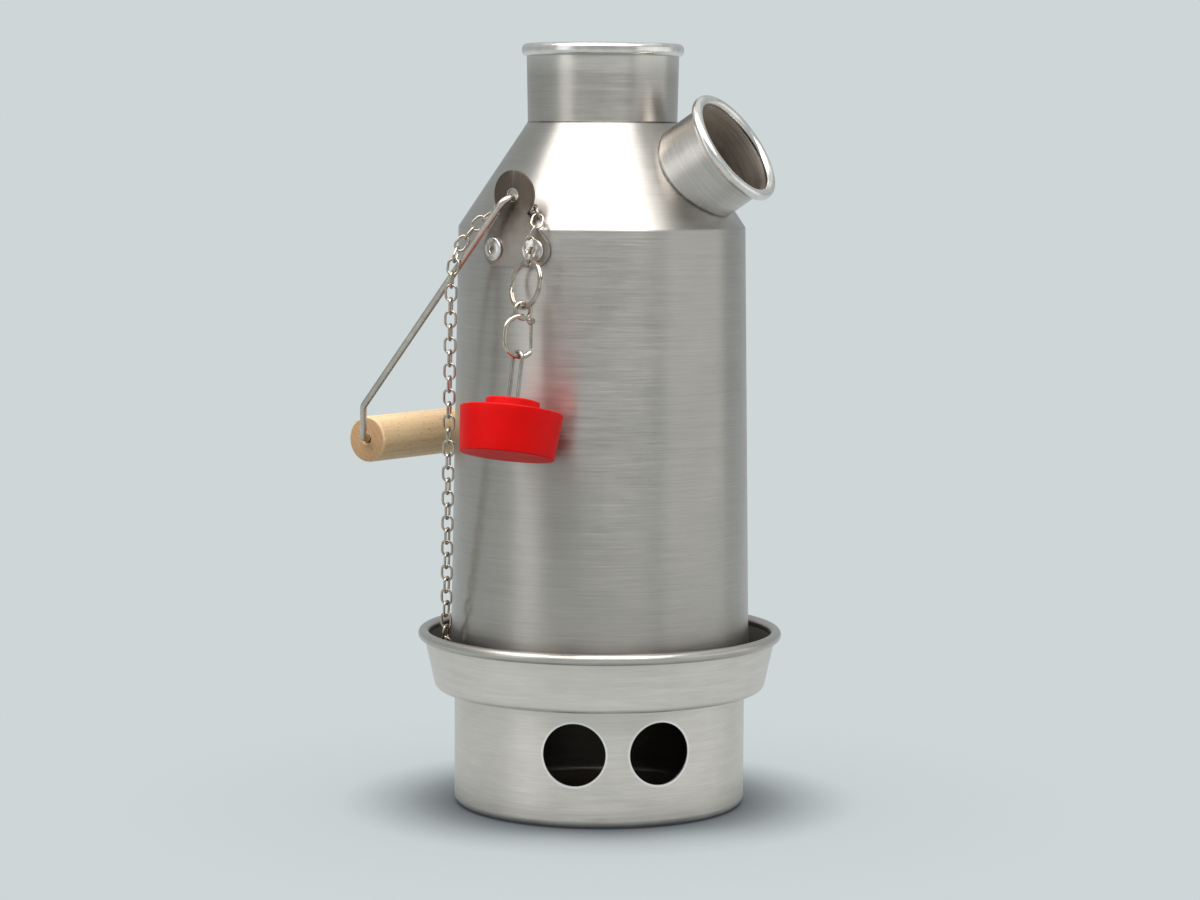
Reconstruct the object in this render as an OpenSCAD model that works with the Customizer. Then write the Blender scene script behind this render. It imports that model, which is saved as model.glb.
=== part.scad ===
// Storm kettle: a double-walled kettle with a chimney, standing on a fire base.
// Millimetres. +Z is up, the origin is the centre of the fire base's underside,
// the bail turns on an axis parallel to Y, and the spout is on the +X side.

/* [Fire base] */
// Outer radius of the lower wall
base_r = 59.6; // [50:0.1:75]
// Height of the ledge's underside above the ground
base_h = 47.2; // [38:0.2:80]
// Thickness of the base's sheet
base_wall = 0.9; // [0.6:0.1:1.5]
// Outer radius of the bend between floor and wall
base_bend_r = 3; // [1.5:0.5:6]
// Width of the ledge, from the lower wall to the tray's foot
ledge_w = 7.8; // [7:0.1:14]
// Outer radius of the bend at the tray's foot
tray_bend_r = 3; // [1.5:0.5:4]
// Inner bend between the lower wall and the ledge
ledge_bend_r = 0.6; // [0.3:0.1:0.8]
// Height of the tray's rim above the ledge's underside
tray_h = 22.4; // [18:0.2:35]
// How far the rolled rim stands out past the tray's foot
rim_out = 5; // [1:0.1:10]
// Radius of the rolled rim's section
rim_bead_r = 2.2; // [1.5:0.1:3]
// Diameter of a vent
vent_d = 25.2; // [15:0.2:28]
// Height of the vents' centres
vent_z = 29.4; // [16:0.2:33]
// Angle between the two vents
vent_spread = 33.7; // [30:0.1:60]
// Direction of the pair of vents around the base, measured from +X
vent_heading = -46.8; // [-180:0.1:180]

/* [Kettle shell] */
// How far the kettle's foot reaches past the base's wall
foot_step = 1.9; // [1:0.1:3]
// How much the body narrows from its foot to the shoulder
body_draw = 3.2; // [0:0.1:8]
// Height of the body from its foot to the shoulder
body_h = 188.2; // [150:0.2:260]
// Height of the sloping shoulder
cone_h = 42.1; // [38:0.1:55]
// How far the shoulder slopes in, from the body to the neck
cone_in = 28; // [24:0.1:34]
// How much the neck widens towards its top
neck_flare = 0.75; // [0:0.05:3]
// Height of the neck
neck_h = 26.5; // [15:0.5:50]
// Thickness of the shell's sheet
shell_wall = 0.8; // [0.5:0.1:1.2]
// Bend radius at the shoulder and at the neck
shell_bend_r = 2.4; // [1.5:0.1:4]

/* [Flue] */
// Width of the water jacket at its foot
jacket_w = 6.9; // [4:0.1:14]
// Thickness of the flue's sheet
flue_wall = 0.8; // [0.5:0.1:1.2]
// Height of the hem that is seamed to the shell
hem_h = 5; // [3:0.5:10]
// Bend radius of the hem
hem_bend_r = 0.5; // [0.3:0.1:1]
// Bend radius at the foot of the flue's cone
flue_bend_r = 1; // [0.5:0.1:1.5]
// Height of the rolled lip on the chimney
lip_h = 5; // [4.5:0.1:7]
// How far the rolled lip stands out past the neck
lip_reach = 1.75; // [1:0.05:2.5]

/* [Spout] */
// Outer radius of the spout's tube
spout_r = 21; // [18:0.05:22]
// Thickness of the spout's tube
spout_wall = 0.9; // [0.6:0.1:1.5]
// Length from the shoulder's slope to the middle of the rim, along the axis
spout_len = 18.5; // [15:0.1:35]
// Rise of the spout's axis above level
spout_tilt = 33; // [22:0.5:40]
// Direction of the spout, measured from square to the bail's axis
spout_heading = 8; // [-15:0.5:15]
// How far above the middle of the shoulder's slope the spout's axis leaves it
spout_up = 1.3; // [-2:0.1:2]
// Radius of the rolled rim's section
spout_bead_r = 2.15; // [1.8:0.05:3]

/* [Bail brackets] */
// Height of the eye above the shoulder
eye_rise = 13.4; // [12.5:0.1:18]
// Radius of the round head
head_r = 9.8; // [8:0.1:12]
// Radius of the eye
eye_r = 2.5; // [2.5:0.1:3.6]
// Half width of the waist under the head
waist = 6.7; // [5:0.1:7]
// How far the rivets lie below the eye
rivet_drop = 21.4; // [19:0.1:24]
// Distance of a rivet from the bracket's middle
rivet_half = 9.6; // [8:0.1:11]
// Radius of the plate around a rivet
lobe_r = 6.8; // [5.5:0.1:7.5]
// Thickness of the plate
plate_t = 1.1; // [0.8:0.1:1.6]

/* [Rivets] */
// Radius of a rivet's flange
flange_r = 4.6; // [3.5:0.1:5]
// Height of a rivet's flange
flange_h = 1.4; // [0.8:0.1:1.6]
// Radius of a rivet's shank
shank_r = 2.4; // [1.8:0.1:2.6]
// Radius of the hole that the mandrel leaves
mandrel_r = 1.3; // [0.8:0.1:1.5]
// Radius of the bulge on the blind side
bulge_r = 3.4; // [2.9:0.1:4]
// Length of the bulge
bulge_h = 3; // [2:0.5:4]

/* [Bail and grip] */
// Diameter of the bail's wire
bail_d = 2.8; // [2:0.1:3]
// Distance of a leg's middle from the bracket
leg_gap = 4.8; // [4.6:0.1:8]
// Length of the straight legs, from the pivot
leg_len = 112; // [95:1:140]
// How far the bail hangs below level as it is stored
bail_hang = 49.8; // [30:0.1:54]
// Bend radius of the bail's wire
bail_bend_r = 4.5; // [3.5:0.1:5]
// Length of the wire's end inside the bracket
bail_tip = 3.4; // [2:0.1:4]
// Diameter of the wooden grip
grip_d = 19; // [15:0.5:20]
// Length of the wooden grip
grip_len = 94; // [70:1:105]
// Diameter of the bore in the grip
grip_bore = 4; // [3.4:0.1:6]
// Rounding of the grip's ends
grip_round = 1.2; // [0.5:0.1:3]

/* [Chain] */
// Diameter of the chain's wire
link_wire = 1; // [0.8:0.05:1.05]
// Outer width of a link
link_w = 5.2; // [5:0.1:5.3]
// Distance from link to link
link_pitch = 5.2; // [4.8:0.05:5.5]
// Gap between two links that hang in each other
link_gap = 0.15; // [0.1:0.05:0.25]
// Twist of the chain beside the kettle
chain_roll = 45; // [43:1:47]
// Radius of the staple's wire on the chain lug
lug_wire_r = 0.6; // [0.5:0.05:0.8]
// Bend radius of the staple
staple_bend_r = 0.7; // [0.6:0.1:1]
// Edge of the lug's plate beside its rivet
lug_edge = 0.4; // [0.2:0.1:2]

/* [Ring and clasp] */
// Outer diameter of the split ring
ring_od = 20; // [17:0.5:24]
// Radial thickness of the split ring
ring_t = 1.5; // [1.2:0.1:1.7]
// Axial thickness of the split ring, both coils
ring_axial = 1.7; // [1.2:0.1:1.9]
// Chamfer on the split ring's edges
ring_edge = 0.25; // [0.1:0.05:0.4]
// Depth of the groove between its coils
ring_groove = 0.2; // [0.1:0.05:0.3]
// Width of the cut where a coil ends
ring_cut = 0.4; // [0.2:0.1:0.8]
// Radius of the hole in the clasp's eye
clasp_eye_r = 2.3; // [2.2:0.1:3]
// Radius of the wire around that hole
clasp_eye_wire_r = 0.85; // [0.7:0.05:1]
// Radius of the clasp's wire
clasp_wire_r = 1; // [0.8:0.05:1.2]
// Bend radius of the clasp's loop
clasp_loop_r = 6.4; // [6:0.1:8]
// Length of the clasp's straight back
clasp_back = 3; // [2:0.1:6]
// Thickness of the solid head between the clasp's eye and its loop
clasp_head_t = 1.5; // [1.2:0.1:1.6]
// Radius of the gate's pin
gate_pin_r = 0.5; // [0.4:0.05:0.7]
// Width of the gate
gate_w = 1.2; // [0.8:0.1:1.5]
// Thickness of the gate
gate_t = 0.9; // [0.6:0.1:1]
// Metal around the gate's pin
gate_boss = 0.7; // [0.5:0.1:1]
// How far the fork stands out past the gate and the wire
fork_edge = 0.15; // [0.1:0.05:0.3]

/* [Stopper] */
// Diameter of the eye's wire
pin_wire = 1.5; // [1.2:0.1:1.8]
// Distance between the eye's two prongs
pin_w = 5.2; // [4.8:0.1:7]
// Length of the eye above the boss
pin_len = 19.8; // [16:0.2:24]
// Depth of the prongs in the boss and the plug
pin_depth = 9; // [5:0.5:14]
// Radius of the boss
boss_r = 10.6; // [8:0.1:14]
// Height of the boss
boss_h = 4; // [2:0.5:8]
// How much wider the plug is at its top than the spout's bore
plug_over = 0.1; // [0.1:0.05:1.5]
// How much narrower the plug is at its foot than the spout's bore
plug_under = 1.6; // [0.5:0.05:3]
// Height of the plug
plug_h = 18; // [14:0.5:24]

/* [Clearances] */
// Gap between the kettle's foot and the ledge
seat_gap = 0.05; // [0.02:0.01:0.2]
// Gap between pieces that are seamed, riveted or pressed together
joint_gap = 0.05; // [0.02:0.01:0.1]
// Radial clearance of the gate on its pin
pin_gap = 0.06; // [0.02:0.01:0.1]
// Gap between the bail's wire and the lower edge of its eyes
eye_play = 0.1; // [0.05:0.05:0.5]
// Gap between the grip's ends and the bail's bends
grip_play = 0.4; // [0.2:0.1:2]
// Gap between pieces that lie against each other
rest_gap = 0.3; // [0.2:0.05:0.6]
// Room for the split ring in the link and in the clasp's eye
ring_play = 0.6; // [0.5:0.05:0.8]
// Room for the staple in the last link
lug_play = 0.4; // [0.3:0.05:0.6]

/* [Hidden] */
$fn = 64;
fine = 20;
over = 1;

// Radii of the base and the kettle, from the base's wall outwards and inwards
tray_r = base_r + ledge_w;
rim_r = tray_r + rim_out;
body_r = base_r + foot_step;
shoulder_r = body_r - body_draw;
neck_r = shoulder_r - cone_in;
neck_top_r = neck_r + neck_flare;
flue_foot_r = body_r - jacket_w;

// Heights of the kettle
ledge_z = base_h + base_wall;
foot_z = ledge_z + seat_gap;
shoulder_z = foot_z + body_h;
neck_z = shoulder_z + cone_h;
neck_top_z = neck_z + neck_h;
rim_z = base_h + tray_h;
slope = cone_in / cone_h;
taper = body_draw / body_h;

// Brackets, rivets and bail
plate_r = body_r - taper * (body_h + eye_rise - rivet_drop - lobe_r) + joint_gap;
eye_z = shoulder_z + eye_rise;
rivet_z = eye_z - rivet_drop;
rivet_turn = rivet_half / plate_r * 180 / PI;
pivot_z = eye_z - eye_r + bail_d / 2 + eye_play;
tip_y = plate_r - bail_tip;
leg_y = plate_r + plate_t + leg_gap;
slant = (leg_y - grip_len / 2 - grip_play - bail_bend_r / 2) * 4 / 3;
grip_reach = leg_len + slant;
grip_drop = (grip_bore - bail_d) / 2 - joint_gap;
front = -90;
rear = 90;

// Flue
flue_r = neck_r - shell_wall - joint_gap;
hem_r = body_r - shell_wall - taper * hem_h - joint_gap - flue_wall;
lip_r = neck_top_r + lip_reach;
lip_in_r = flue_r - flue_wall;
lip_round = (lip_r - lip_in_r) / 2;
lip_z = neck_top_z + joint_gap;

// Spout: where its axis leaves the slope
spout_x = (shoulder_r + neck_r) / 2 - spout_up * sin(atan(slope));
spout_z = (shoulder_z + neck_z) / 2 + spout_up * cos(atan(slope)) + joint_gap;
spout_ring_r = spout_r - spout_wall + spout_bead_r - joint_gap;
spout_root = spout_r * tan(90 - spout_tilt - atan(slope)) + spout_r;

// Chain: two linked wires lie this far apart, and a link is this long from middle to end
link_step = link_wire + link_gap;
link_half = (link_pitch + link_step) / 2;
link_bend_r = (link_w - link_wire) / 2;
twist_links = 3;

// The chain's route, chosen by hand. It starts beside the front bracket, measured from its eye,
// goes behind the waist and over the bail, hangs beside the body and lies down in the tray.
eye_at = [0, -plate_r, eye_z];
hinge = eye_at + [11.6, -5.4, -22.25];
beside_eye = [[11.6, -5.4, -22.25 + link_step / 2], [11.6, -5.4, -16.45], [13, -3.3, -11.95],
              [12.3, -0.2, -7.85], [8.5, 2.7, -5.85], [3.6, 3.2, -4.25], [-1.6, 2.8, -4.75],
              [-6.8, 3.1, -5.15], [-11.6, 2.3, -6.85], [-15.7, 0.6, -9.65], [-18.8, -1.6, -13.15],
              [-20.9, -4.2, -17.15], [-23.4, -6.7, -22.15], [-22.8, -9.8, -27.35],
              [-22.9, -10.8, -35.75], [-23.2, -10.9, -49.75]];
chain_top = eye_at + beside_eye[len(beside_eye) - 1];
chain_low = polar(body_r + 4.1, 234.2, ledge_z + 18.6);
chain_bulge = [8.4, -11.2, 0];
route = concat(
    [for (p = beside_eye) eye_at + p],
    [for (f = [0.15 : 0.17 : 0.9]) chain_top + (chain_low - chain_top) * f + chain_bulge * f * (1 - f)],
    [chain_low],
    [for (p = [[3.8, 231.5, 12.3], [3.4, 228.2, 7.2], [3.1, 223.8, 3.9], [3, 218, 2.6], [3, 212, 2.6],
               [3, 206, 2.6], [3, 200, 2.6], [3.4, 195, 3.7], [3.7, 190, 5.9], [3.7, 185, 7.6],
               [3.7, 178, 8.6]])
        polar(body_r + p[0], p[1], ledge_z + p[2])]);
joints = walk(route, 0, route[0]);
chain_links = len(joints) - 1;
drape_from = 8;
hang_from = 15;
tray_from = len([for (j = joints) if (j[2] > chain_low[2]) j]) - 1;
hinge_turn = atan2(hinge[0], -hinge[1]);
hinge_r = norm([hinge[0], hinge[1]]);

// Chain lug: its staple stands where the last link ends
lug_at = joints[chain_links];
lug_way = unit(lug_at - joints[chain_links - 1]);
lug_bar = lug_at + lug_way * (link_step / 2 - link_wire / 2 - lug_wire_r - lug_play);
lug_turn = atan2(lug_bar[1], lug_bar[0]);
lug_bar_r = norm([lug_bar[0], lug_bar[1]]);
lug_half = link_w / 2 + lug_wire_r;
lug_foot_z = lug_bar[2] - lug_half - lug_wire_r;
lug_rivet_z = lug_bar[2] + lug_half + lug_wire_r + flange_r + lug_edge;
lug_plate_r = body_r - taper * (lug_foot_z - foot_z) + joint_gap;
lug_plate_w = 2 * (flange_r + lug_edge);
lug_plate_h = lug_rivet_z + lug_plate_w / 2 - lug_foot_z;

// What hangs on the stopper's link, measured down from the hinge
ring_mid_r = (ring_od - ring_t) / 2;
ring_down = link_pitch - link_wire / 2 - ring_play - ring_t / 2 + ring_mid_r;
clasp_eye_down = ring_down + ring_mid_r - ring_t / 2 - ring_play + clasp_eye_r;
clasp_top_down = clasp_eye_down + clasp_eye_r + clasp_loop_r;
clasp_low_down = clasp_top_down + clasp_back;
hook_down = clasp_low_down + clasp_loop_r;
pin_top_down = hook_down - clasp_wire_r - link_gap - pin_wire / 2;
boss_down = pin_top_down - pin_wire / 2 + pin_len;
plug_down = boss_down + boss_h;
plug_top_r = spout_r - spout_wall + plug_over;
plug_foot_r = spout_r - spout_wall - plug_under;
ring_ends = [165, 195];
ring_face = -27;
clasp_face = 48;
pin_face = -22;

// The clasp's gate runs from its pin to the hook's nose
gate_from = acos(0.6);
nose_at = -acos(0.8);
gate_top = [clasp_loop_r * cos(gate_from), -clasp_top_down + clasp_loop_r * sin(gate_from)];
nose = [clasp_loop_r * cos(nose_at), -clasp_low_down + clasp_loop_r * sin(nose_at)];
gate_end = nose + unit(gate_top - nose) * (clasp_wire_r + rest_gap + gate_w / 2);
gate_boss_r = gate_pin_r + pin_gap + gate_boss;
fork_r = gate_boss_r + fork_edge;
fork_half = clasp_wire_r + fork_edge;

// The stopper leans out from its hinge until its top edge lies against the kettle
wall_r = body_r - taper * (hinge[2] - plug_down - foot_z);
lean_arm = norm([plug_down, plug_top_r]);
lean = atan2(plug_top_r, plug_down) + asin((wall_r + rest_gap - hinge_r) / lean_arm);

function unit(v) = v / norm(v);
function polar(r, turn, z) = [r * cos(turn), r * sin(turn), z];

// Points of a round bend of radius r at corner b, between a and c
function bend(a, b, c, r, n = 6) =
    let (u = unit(a - b), v = unit(c - b), half = acos(u * v) / 2,
         m = b + unit(u + v) * r / sin(half),
         s = b + u * r / tan(half) - m, e = b + v * r / tan(half) - m)
    [for (i = [0 : n]) m + r * unit(s * (n - i) + e * i)];

// Points of an arc about m
function arc(m, r, from, to, n) =
    [for (i = [0 : n]) m + r * [cos(from + (to - from) * i / n), sin(from + (to - from) * i / n)]];

// A path moved sideways by d, to its left
function left_of(a, b) = let (t = unit(b - a)) [-t[1], t[0]];
function moved(path, d) =
    [for (i = [0 : len(path) - 1])
        let (last = len(path) - 1,
             n1 = i > 0 ? left_of(path[i - 1], path[i]) : left_of(path[0], path[1]),
             n2 = i < last ? left_of(path[i], path[i + 1]) : n1,
             m = unit(n1 + n2))
        path[i] + m * d / (m * n1)];
function sheet(path, d) =
    let (inner = moved(path, d))
    concat(path, [for (i = [len(path) - 1 : -1 : 0]) inner[i]]);

// Points along a route that lie one link apart, as far as the route goes
function reach(route, i, p) =
    i == len(route) - 1 ? undef
        : norm(route[i + 1] - p) < link_pitch ? reach(route, i + 1, p)
        : let (a = route[i], d = route[i + 1] - a, f = a - p, k = f * d, q = d * d)
          [i, a + d * (-k + sqrt(k * k - q * (f * f - link_pitch * link_pitch))) / q];
function walk(route, i, p) =
    let (next = reach(route, i, p))
    next == undef ? [p] : concat([p], walk(route, next[0], next[1]));

// Thickness under a rivet's flange, at a height above the plate's foot
function rivet_grip(height) =
    plate_t + shell_wall + taper * height + bulge_r * bulge_r / shoulder_r + 3 * joint_gap;

function shell_path() =
    let (a = [body_r, foot_z], b = [shoulder_r, shoulder_z], c = [neck_r, neck_z],
         d = [neck_top_r, neck_top_z])
    concat([a], bend(a, b, c, shell_bend_r), bend(b, c, d, shell_bend_r), [d]);

// Turns a child's +Z outwards at a place on the kettle's wall
module at_wall(turn, r, z) {
    rotate([0, 0, turn]) translate([r, 0, z]) rotate([0, 90, 0]) children();
}

module along_spout() {
    rotate([0, 0, spout_heading]) translate([spout_x, 0, spout_z]) rotate([0, 90 - spout_tilt, 0]) children();
}

// Hangs a child from the stopper's hinge, leaning outwards
module hanging() {
    translate(hinge) rotate([0, 0, hinge_turn]) rotate([-lean, 0, 0]) children();
}

module rod(a, b, d) {
    way = b - a;
    translate([a[0], a[1], 0]) rotate([0, 90, atan2(way[1], way[0])])
        cylinder(d = d, h = norm(way), $fn = fine);
}

module arc_wire(r, d, from, sweep) {
    rotate([0, 0, from]) rotate_extrude(angle = sweep) translate([r, 0]) circle(d = d, $fn = fine);
}

// A wire that starts along +X: each step is a straight length and then a bend,
// given as its radius and its angle to the left
module wire(steps, d, i = 0) {
    way = steps[i];
    side = way[2] < 0 ? -1 : 1;
    if (way[0] > 0) rod([0, 0], [way[0], 0], d);
    translate([way[0], 0, 0]) {
        if (way[2] != 0) translate([0, side * way[1], 0])
            mirror([0, (1 - side) / 2, 0]) arc_wire(way[1], d, -90, abs(way[2]));
        if (i < len(steps) - 1)
            translate([0, side * way[1], 0]) rotate([0, 0, way[2]]) translate([0, -side * way[1], 0])
                wire(steps, d, i + 1);
    }
}

// A link in the XZ plane, lying along Z
module chain_link() {
    straight = link_half - link_bend_r;
    rotate([90, 0, 0]) for (end = [0, 180]) rotate([0, 0, end]) {
        translate([0, straight]) arc_wire(link_bend_r, link_wire, 0, 180);
        rod([link_bend_r, -straight], [link_bend_r, straight], link_wire);
    }
}

module link_between(p, q, roll) {
    t = unit(q - p);
    mid = (p + q) / 2;
    side = unit(cross(unit([mid[0], mid[1], 0]), t));
    flat = cross(t, side);
    multmatrix([[side[0], flat[0], t[0], mid[0]],
                [side[1], flat[1], t[1], mid[1]],
                [side[2], flat[2], t[2], mid[2]]])
        rotate([0, 0, roll]) chain_link();
}

// Links of the chain by number; the first lies flat, and the twist sets in over a few links
module links(from, to) {
    for (i = [from : to])
        link_between(joints[i], joints[i + 1],
                     chain_roll * min(i / twist_links, 1) + (i % 2 == 0 ? 0 : 90));
}

// A blind rivet along Z, seated at z = 0, through a stack of the given thickness
module rivet(grip) {
    difference() {
        union() {
            cylinder(r1 = flange_r, r2 = flange_r - flange_h, h = flange_h);
            translate([0, 0, -grip - bulge_h]) cylinder(r = shank_r, h = grip + bulge_h + flange_h / 2);
            translate([0, 0, -grip - bulge_h]) cylinder(r = bulge_r, h = bulge_h);
        }
        translate([0, 0, -grip]) cylinder(r = mandrel_r, h = grip + flange_h + over);
    }
}

module rivet_hole(turn, r, z) {
    at_wall(turn, r, z) translate([0, 0, -bulge_r]) cylinder(r = shank_r + joint_gap, h = 2 * bulge_r);
}

module bracket_rivet_holes(heading) {
    for (side = [-1, 1]) rivet_hole(heading + side * rivet_turn, plate_r, rivet_z);
}

module fire_base() {
    floor_corner = [base_r, 0];
    ledge_in = [base_r, base_h];
    ledge_out = [tray_r, base_h];
    rim = [rim_r, rim_z];
    path = concat([[0, 0]], bend([0, 0], floor_corner, ledge_in, base_bend_r),
                  bend(floor_corner, ledge_in, ledge_out, ledge_bend_r, 3),
                  bend(ledge_in, ledge_out, rim, tray_bend_r), [rim]);
    color("silver") difference() {
        union() {
            rotate_extrude() polygon(sheet(path, base_wall));
            rotate_extrude() translate(rim) circle(r = rim_bead_r, $fn = fine);
        }
        for (side = [-1, 1])
            at_wall(vent_heading + side * vent_spread / 2, base_r / 2, vent_z)
                cylinder(d = vent_d, h = base_r);
    }
}

module kettle_shell() {
    color("silver") difference() {
        rotate_extrude() polygon(sheet(shell_path(), shell_wall));
        along_spout() translate([0, 0, -spout_root])
            cylinder(r = spout_r - spout_wall, h = spout_root + spout_len);
        bracket_rivet_holes(front);
        bracket_rivet_holes(rear);
        rivet_hole(lug_turn, lug_plate_r, lug_rivet_z);
    }
}

// Inner chimney: its floor closes the water jacket and its top is rolled over the neck
module flue() {
    floor_z = foot_z + flue_wall;
    hem_foot = [hem_r, floor_z];
    cone_foot = [flue_foot_r, floor_z];
    throat = [flue_r, neck_z - shell_bend_r];
    path = concat([[hem_r, floor_z + hem_h]], bend([hem_r, neck_z], hem_foot, cone_foot, hem_bend_r, 3),
                  bend(hem_foot, cone_foot, throat, flue_bend_r, 3), [throat, [flue_r, lip_z + lip_round]]);
    color("gray") union() {
        rotate_extrude() polygon(sheet(path, flue_wall));
        rotate_extrude() {
            for (z = [lip_z + lip_round, lip_z + lip_h - lip_round])
                translate([lip_in_r + lip_round, z]) circle(r = lip_round, $fn = fine);
            translate([lip_in_r, lip_z + lip_round]) square([2 * lip_round, lip_h - 2 * lip_round]);
            translate([lip_in_r, lip_z]) square([neck_top_r - lip_in_r, lip_round]);
        }
    }
}

module spout() {
    color("silver") difference() {
        union() {
            along_spout() translate([0, 0, -spout_root]) difference() {
                cylinder(r = spout_r, h = spout_root + spout_len);
                translate([0, 0, -over])
                    cylinder(r = spout_r - spout_wall, h = spout_root + spout_len + 2 * over);
            }
            along_spout() translate([0, 0, spout_len]) rotate_extrude()
                translate([spout_ring_r, 0]) circle(r = spout_bead_r, $fn = fine);
        }
        rotate_extrude()
            polygon(concat([[0, foot_z]], moved(shell_path(), -joint_gap), [[0, neck_top_z]]));
    }
}

// Outline of a bracket, with the eye at its origin
module bracket_outline() {
    neck_turn = acos(waist / head_r);
    polygon(concat(arc([0, 0], head_r, -neck_turn, 180 + neck_turn, 40),
                   arc([-rivet_half, -rivet_drop], lobe_r, 150, 270, 14),
                   arc([rivet_half, -rivet_drop], lobe_r, 270, 390, 14)));
}

module bracket() {
    height = rivet_drop + lobe_r + head_r + 2 * over;
    difference() {
        intersection() {
            translate([0, 0, eye_z - rivet_drop - lobe_r - over]) difference() {
                cylinder(r = plate_r + plate_t, h = height);
                translate([0, 0, -over]) cylinder(r = plate_r, h = height + 2 * over);
            }
            translate([0, 0, eye_z]) rotate([90, 0, 0])
                linear_extrude(plate_r + 2 * plate_t) bracket_outline();
        }
        translate([0, 0, eye_z]) rotate([90, 0, 0]) cylinder(r = eye_r, h = plate_r + 2 * plate_t);
        bracket_rivet_holes(front);
    }
}

module bracket_front() {
    color("dimgray") bracket();
}

module bracket_rear() {
    color("dimgray") mirror([0, 1, 0]) bracket();
}

module bracket_rivets(heading) {
    for (side = [-1, 1])
        at_wall(heading + side * rivet_turn, plate_r + plate_t + joint_gap, rivet_z)
            rivet(rivet_grip(lobe_r));
}

module rivets_front() {
    color("lightgray") bracket_rivets(front);
}

module rivets_rear() {
    color("lightgray") bracket_rivets(rear);
}

// The wire's plane hangs from the pivot; its first axis runs along the pivot
module in_bail() {
    translate([0, 0, pivot_z]) rotate([0, -bail_hang, 0])
        multmatrix([[0, -1, 0, 0], [1, 0, 0, 0], [0, 0, 1, 0]]) children();
}

// Each shoulder slants in by three for every four along the leg
module bail_wire() {
    r = bail_bend_r;
    kink = acos(0.8);
    end = [leg_y - tip_y - r, r, 90];
    leg = [leg_len - r - r / 3, r, kink];
    shoulder = [slant * 5 / 4 - r / 3 - r / 2, r, 90 - kink];
    middle = [2 * (leg_y - slant * 3 / 4 - r / 2), r, 90 - kink];
    far_shoulder = [shoulder[0], r, kink];
    far_leg = [leg[0], r, 90];
    color("gainsboro") in_bail() translate([tip_y, 0, 0])
        wire([end, leg, shoulder, middle, far_shoulder, far_leg, [end[0], 0, 0]], bail_d);
}

module wooden_grip() {
    r = grip_d / 2;
    half = grip_len / 2;
    profile = concat([[0, -half]], bend([0, -half], [r, -half], [r, half], grip_round),
                     bend([r, -half], [r, half], [0, half], grip_round), [[0, half]]);
    color("burlywood") in_bail() translate([0, grip_reach + grip_drop, 0]) rotate([0, 90, 0]) difference() {
        rotate_extrude() polygon(profile);
        translate([0, 0, -half - over]) cylinder(d = grip_bore, h = grip_len + 2 * over);
    }
}

module chain_behind_bracket() {
    color("lightgray") links(0, drape_from - 1);
}

module chain_over_bail() {
    color("lightgray") links(drape_from, hang_from - 1);
}

module chain_hanging() {
    color("lightgray") links(hang_from, tray_from - 1);
}

module chain_in_tray() {
    color("lightgray") links(tray_from, chain_links - 1);
}

// A plate on the kettle's foot with a staple for the last link
module chain_lug() {
    staple_z = lug_bar[2];
    leg_from = lug_plate_r + plate_t / 2;
    staple_leg = lug_bar_r - leg_from - staple_bend_r;
    color("dimgray") union() {
        difference() {
            intersection() {
                translate([0, 0, lug_foot_z]) difference() {
                    cylinder(r = lug_plate_r + plate_t, h = lug_plate_h);
                    translate([0, 0, -over]) cylinder(r = lug_plate_r, h = lug_plate_h + 2 * over);
                }
                rotate([0, 0, lug_turn]) translate([0, -lug_plate_w / 2, lug_foot_z])
                    cube([lug_plate_r + 2 * plate_t, lug_plate_w, lug_plate_h]);
            }
            rivet_hole(lug_turn, lug_plate_r, lug_rivet_z);
        }
        rotate([0, 0, lug_turn]) translate([leg_from, 0, staple_z - lug_half]) rotate([90, 0, 0])
            wire([[staple_leg, staple_bend_r, 90], [2 * (lug_half - staple_bend_r), staple_bend_r, 90],
                  [staple_leg, 0, 0]], 2 * lug_wire_r);
    }
}

module lug_rivet() {
    color("lightgray") at_wall(lug_turn, lug_plate_r + plate_t + joint_gap, lug_rivet_z)
        rivet(rivet_grip(lug_rivet_z - lug_foot_z));
}

// One link between the fixed chain and the split ring, set across the last fixed link
module stopper_link() {
    color("lightgray") hanging() translate([0, 0, link_step - link_half]) rotate([0, 0, 90]) chain_link();
}

// Two flat coils lie side by side, with a groove between them and a cut where each coil ends
module split_ring() {
    r = ring_t / 2;
    half = ring_axial / 2;
    rim = r - ring_edge;
    side = half - ring_edge;
    floor = r - ring_groove;
    section = [[r, -side], [r, -ring_groove], [floor, 0], [r, ring_groove], [r, side],
               [rim, half], [-rim, half], [-r, side], [-r, ring_groove], [-floor, 0],
               [-r, -ring_groove], [-r, -side], [-rim, -half], [rim, -half]];
    color("lightgray") hanging() translate([0, 0, -ring_down]) rotate([90, 0, ring_face]) difference() {
        rotate_extrude() translate([ring_mid_r, 0]) polygon(section);
        for (coil = [0, 1])
            rotate([0, 0, ring_ends[coil]]) translate([ring_mid_r - ring_t, 0, -half * (1 - coil)])
                cube([2 * ring_t, ring_cut, half]);
    }
}

module in_clasp() {
    hanging() rotate([90, 0, clasp_face]) children();
}

// Solid head that runs from the sides of the eye to the loop
module clasp_head() {
    eye_mid = [0, -clasp_eye_down];
    eye_mid_r = clasp_eye_r + clasp_eye_wire_r;
    side = asin((clasp_loop_r - eye_mid_r) / (clasp_top_down - clasp_eye_down));
    translate([0, 0, -clasp_head_t / 2]) difference() {
        linear_extrude(clasp_head_t)
            polygon(concat([eye_mid + eye_mid_r * [-cos(side), sin(side)]],
                           arc([0, -clasp_top_down], clasp_loop_r, 180 - side, gate_from, 12),
                           [eye_mid + eye_mid_r * [cos(side), sin(side)]]));
        translate([0, -clasp_eye_down, -over]) cylinder(r = eye_mid_r, h = clasp_head_t + 2 * over);
    }
}

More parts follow.
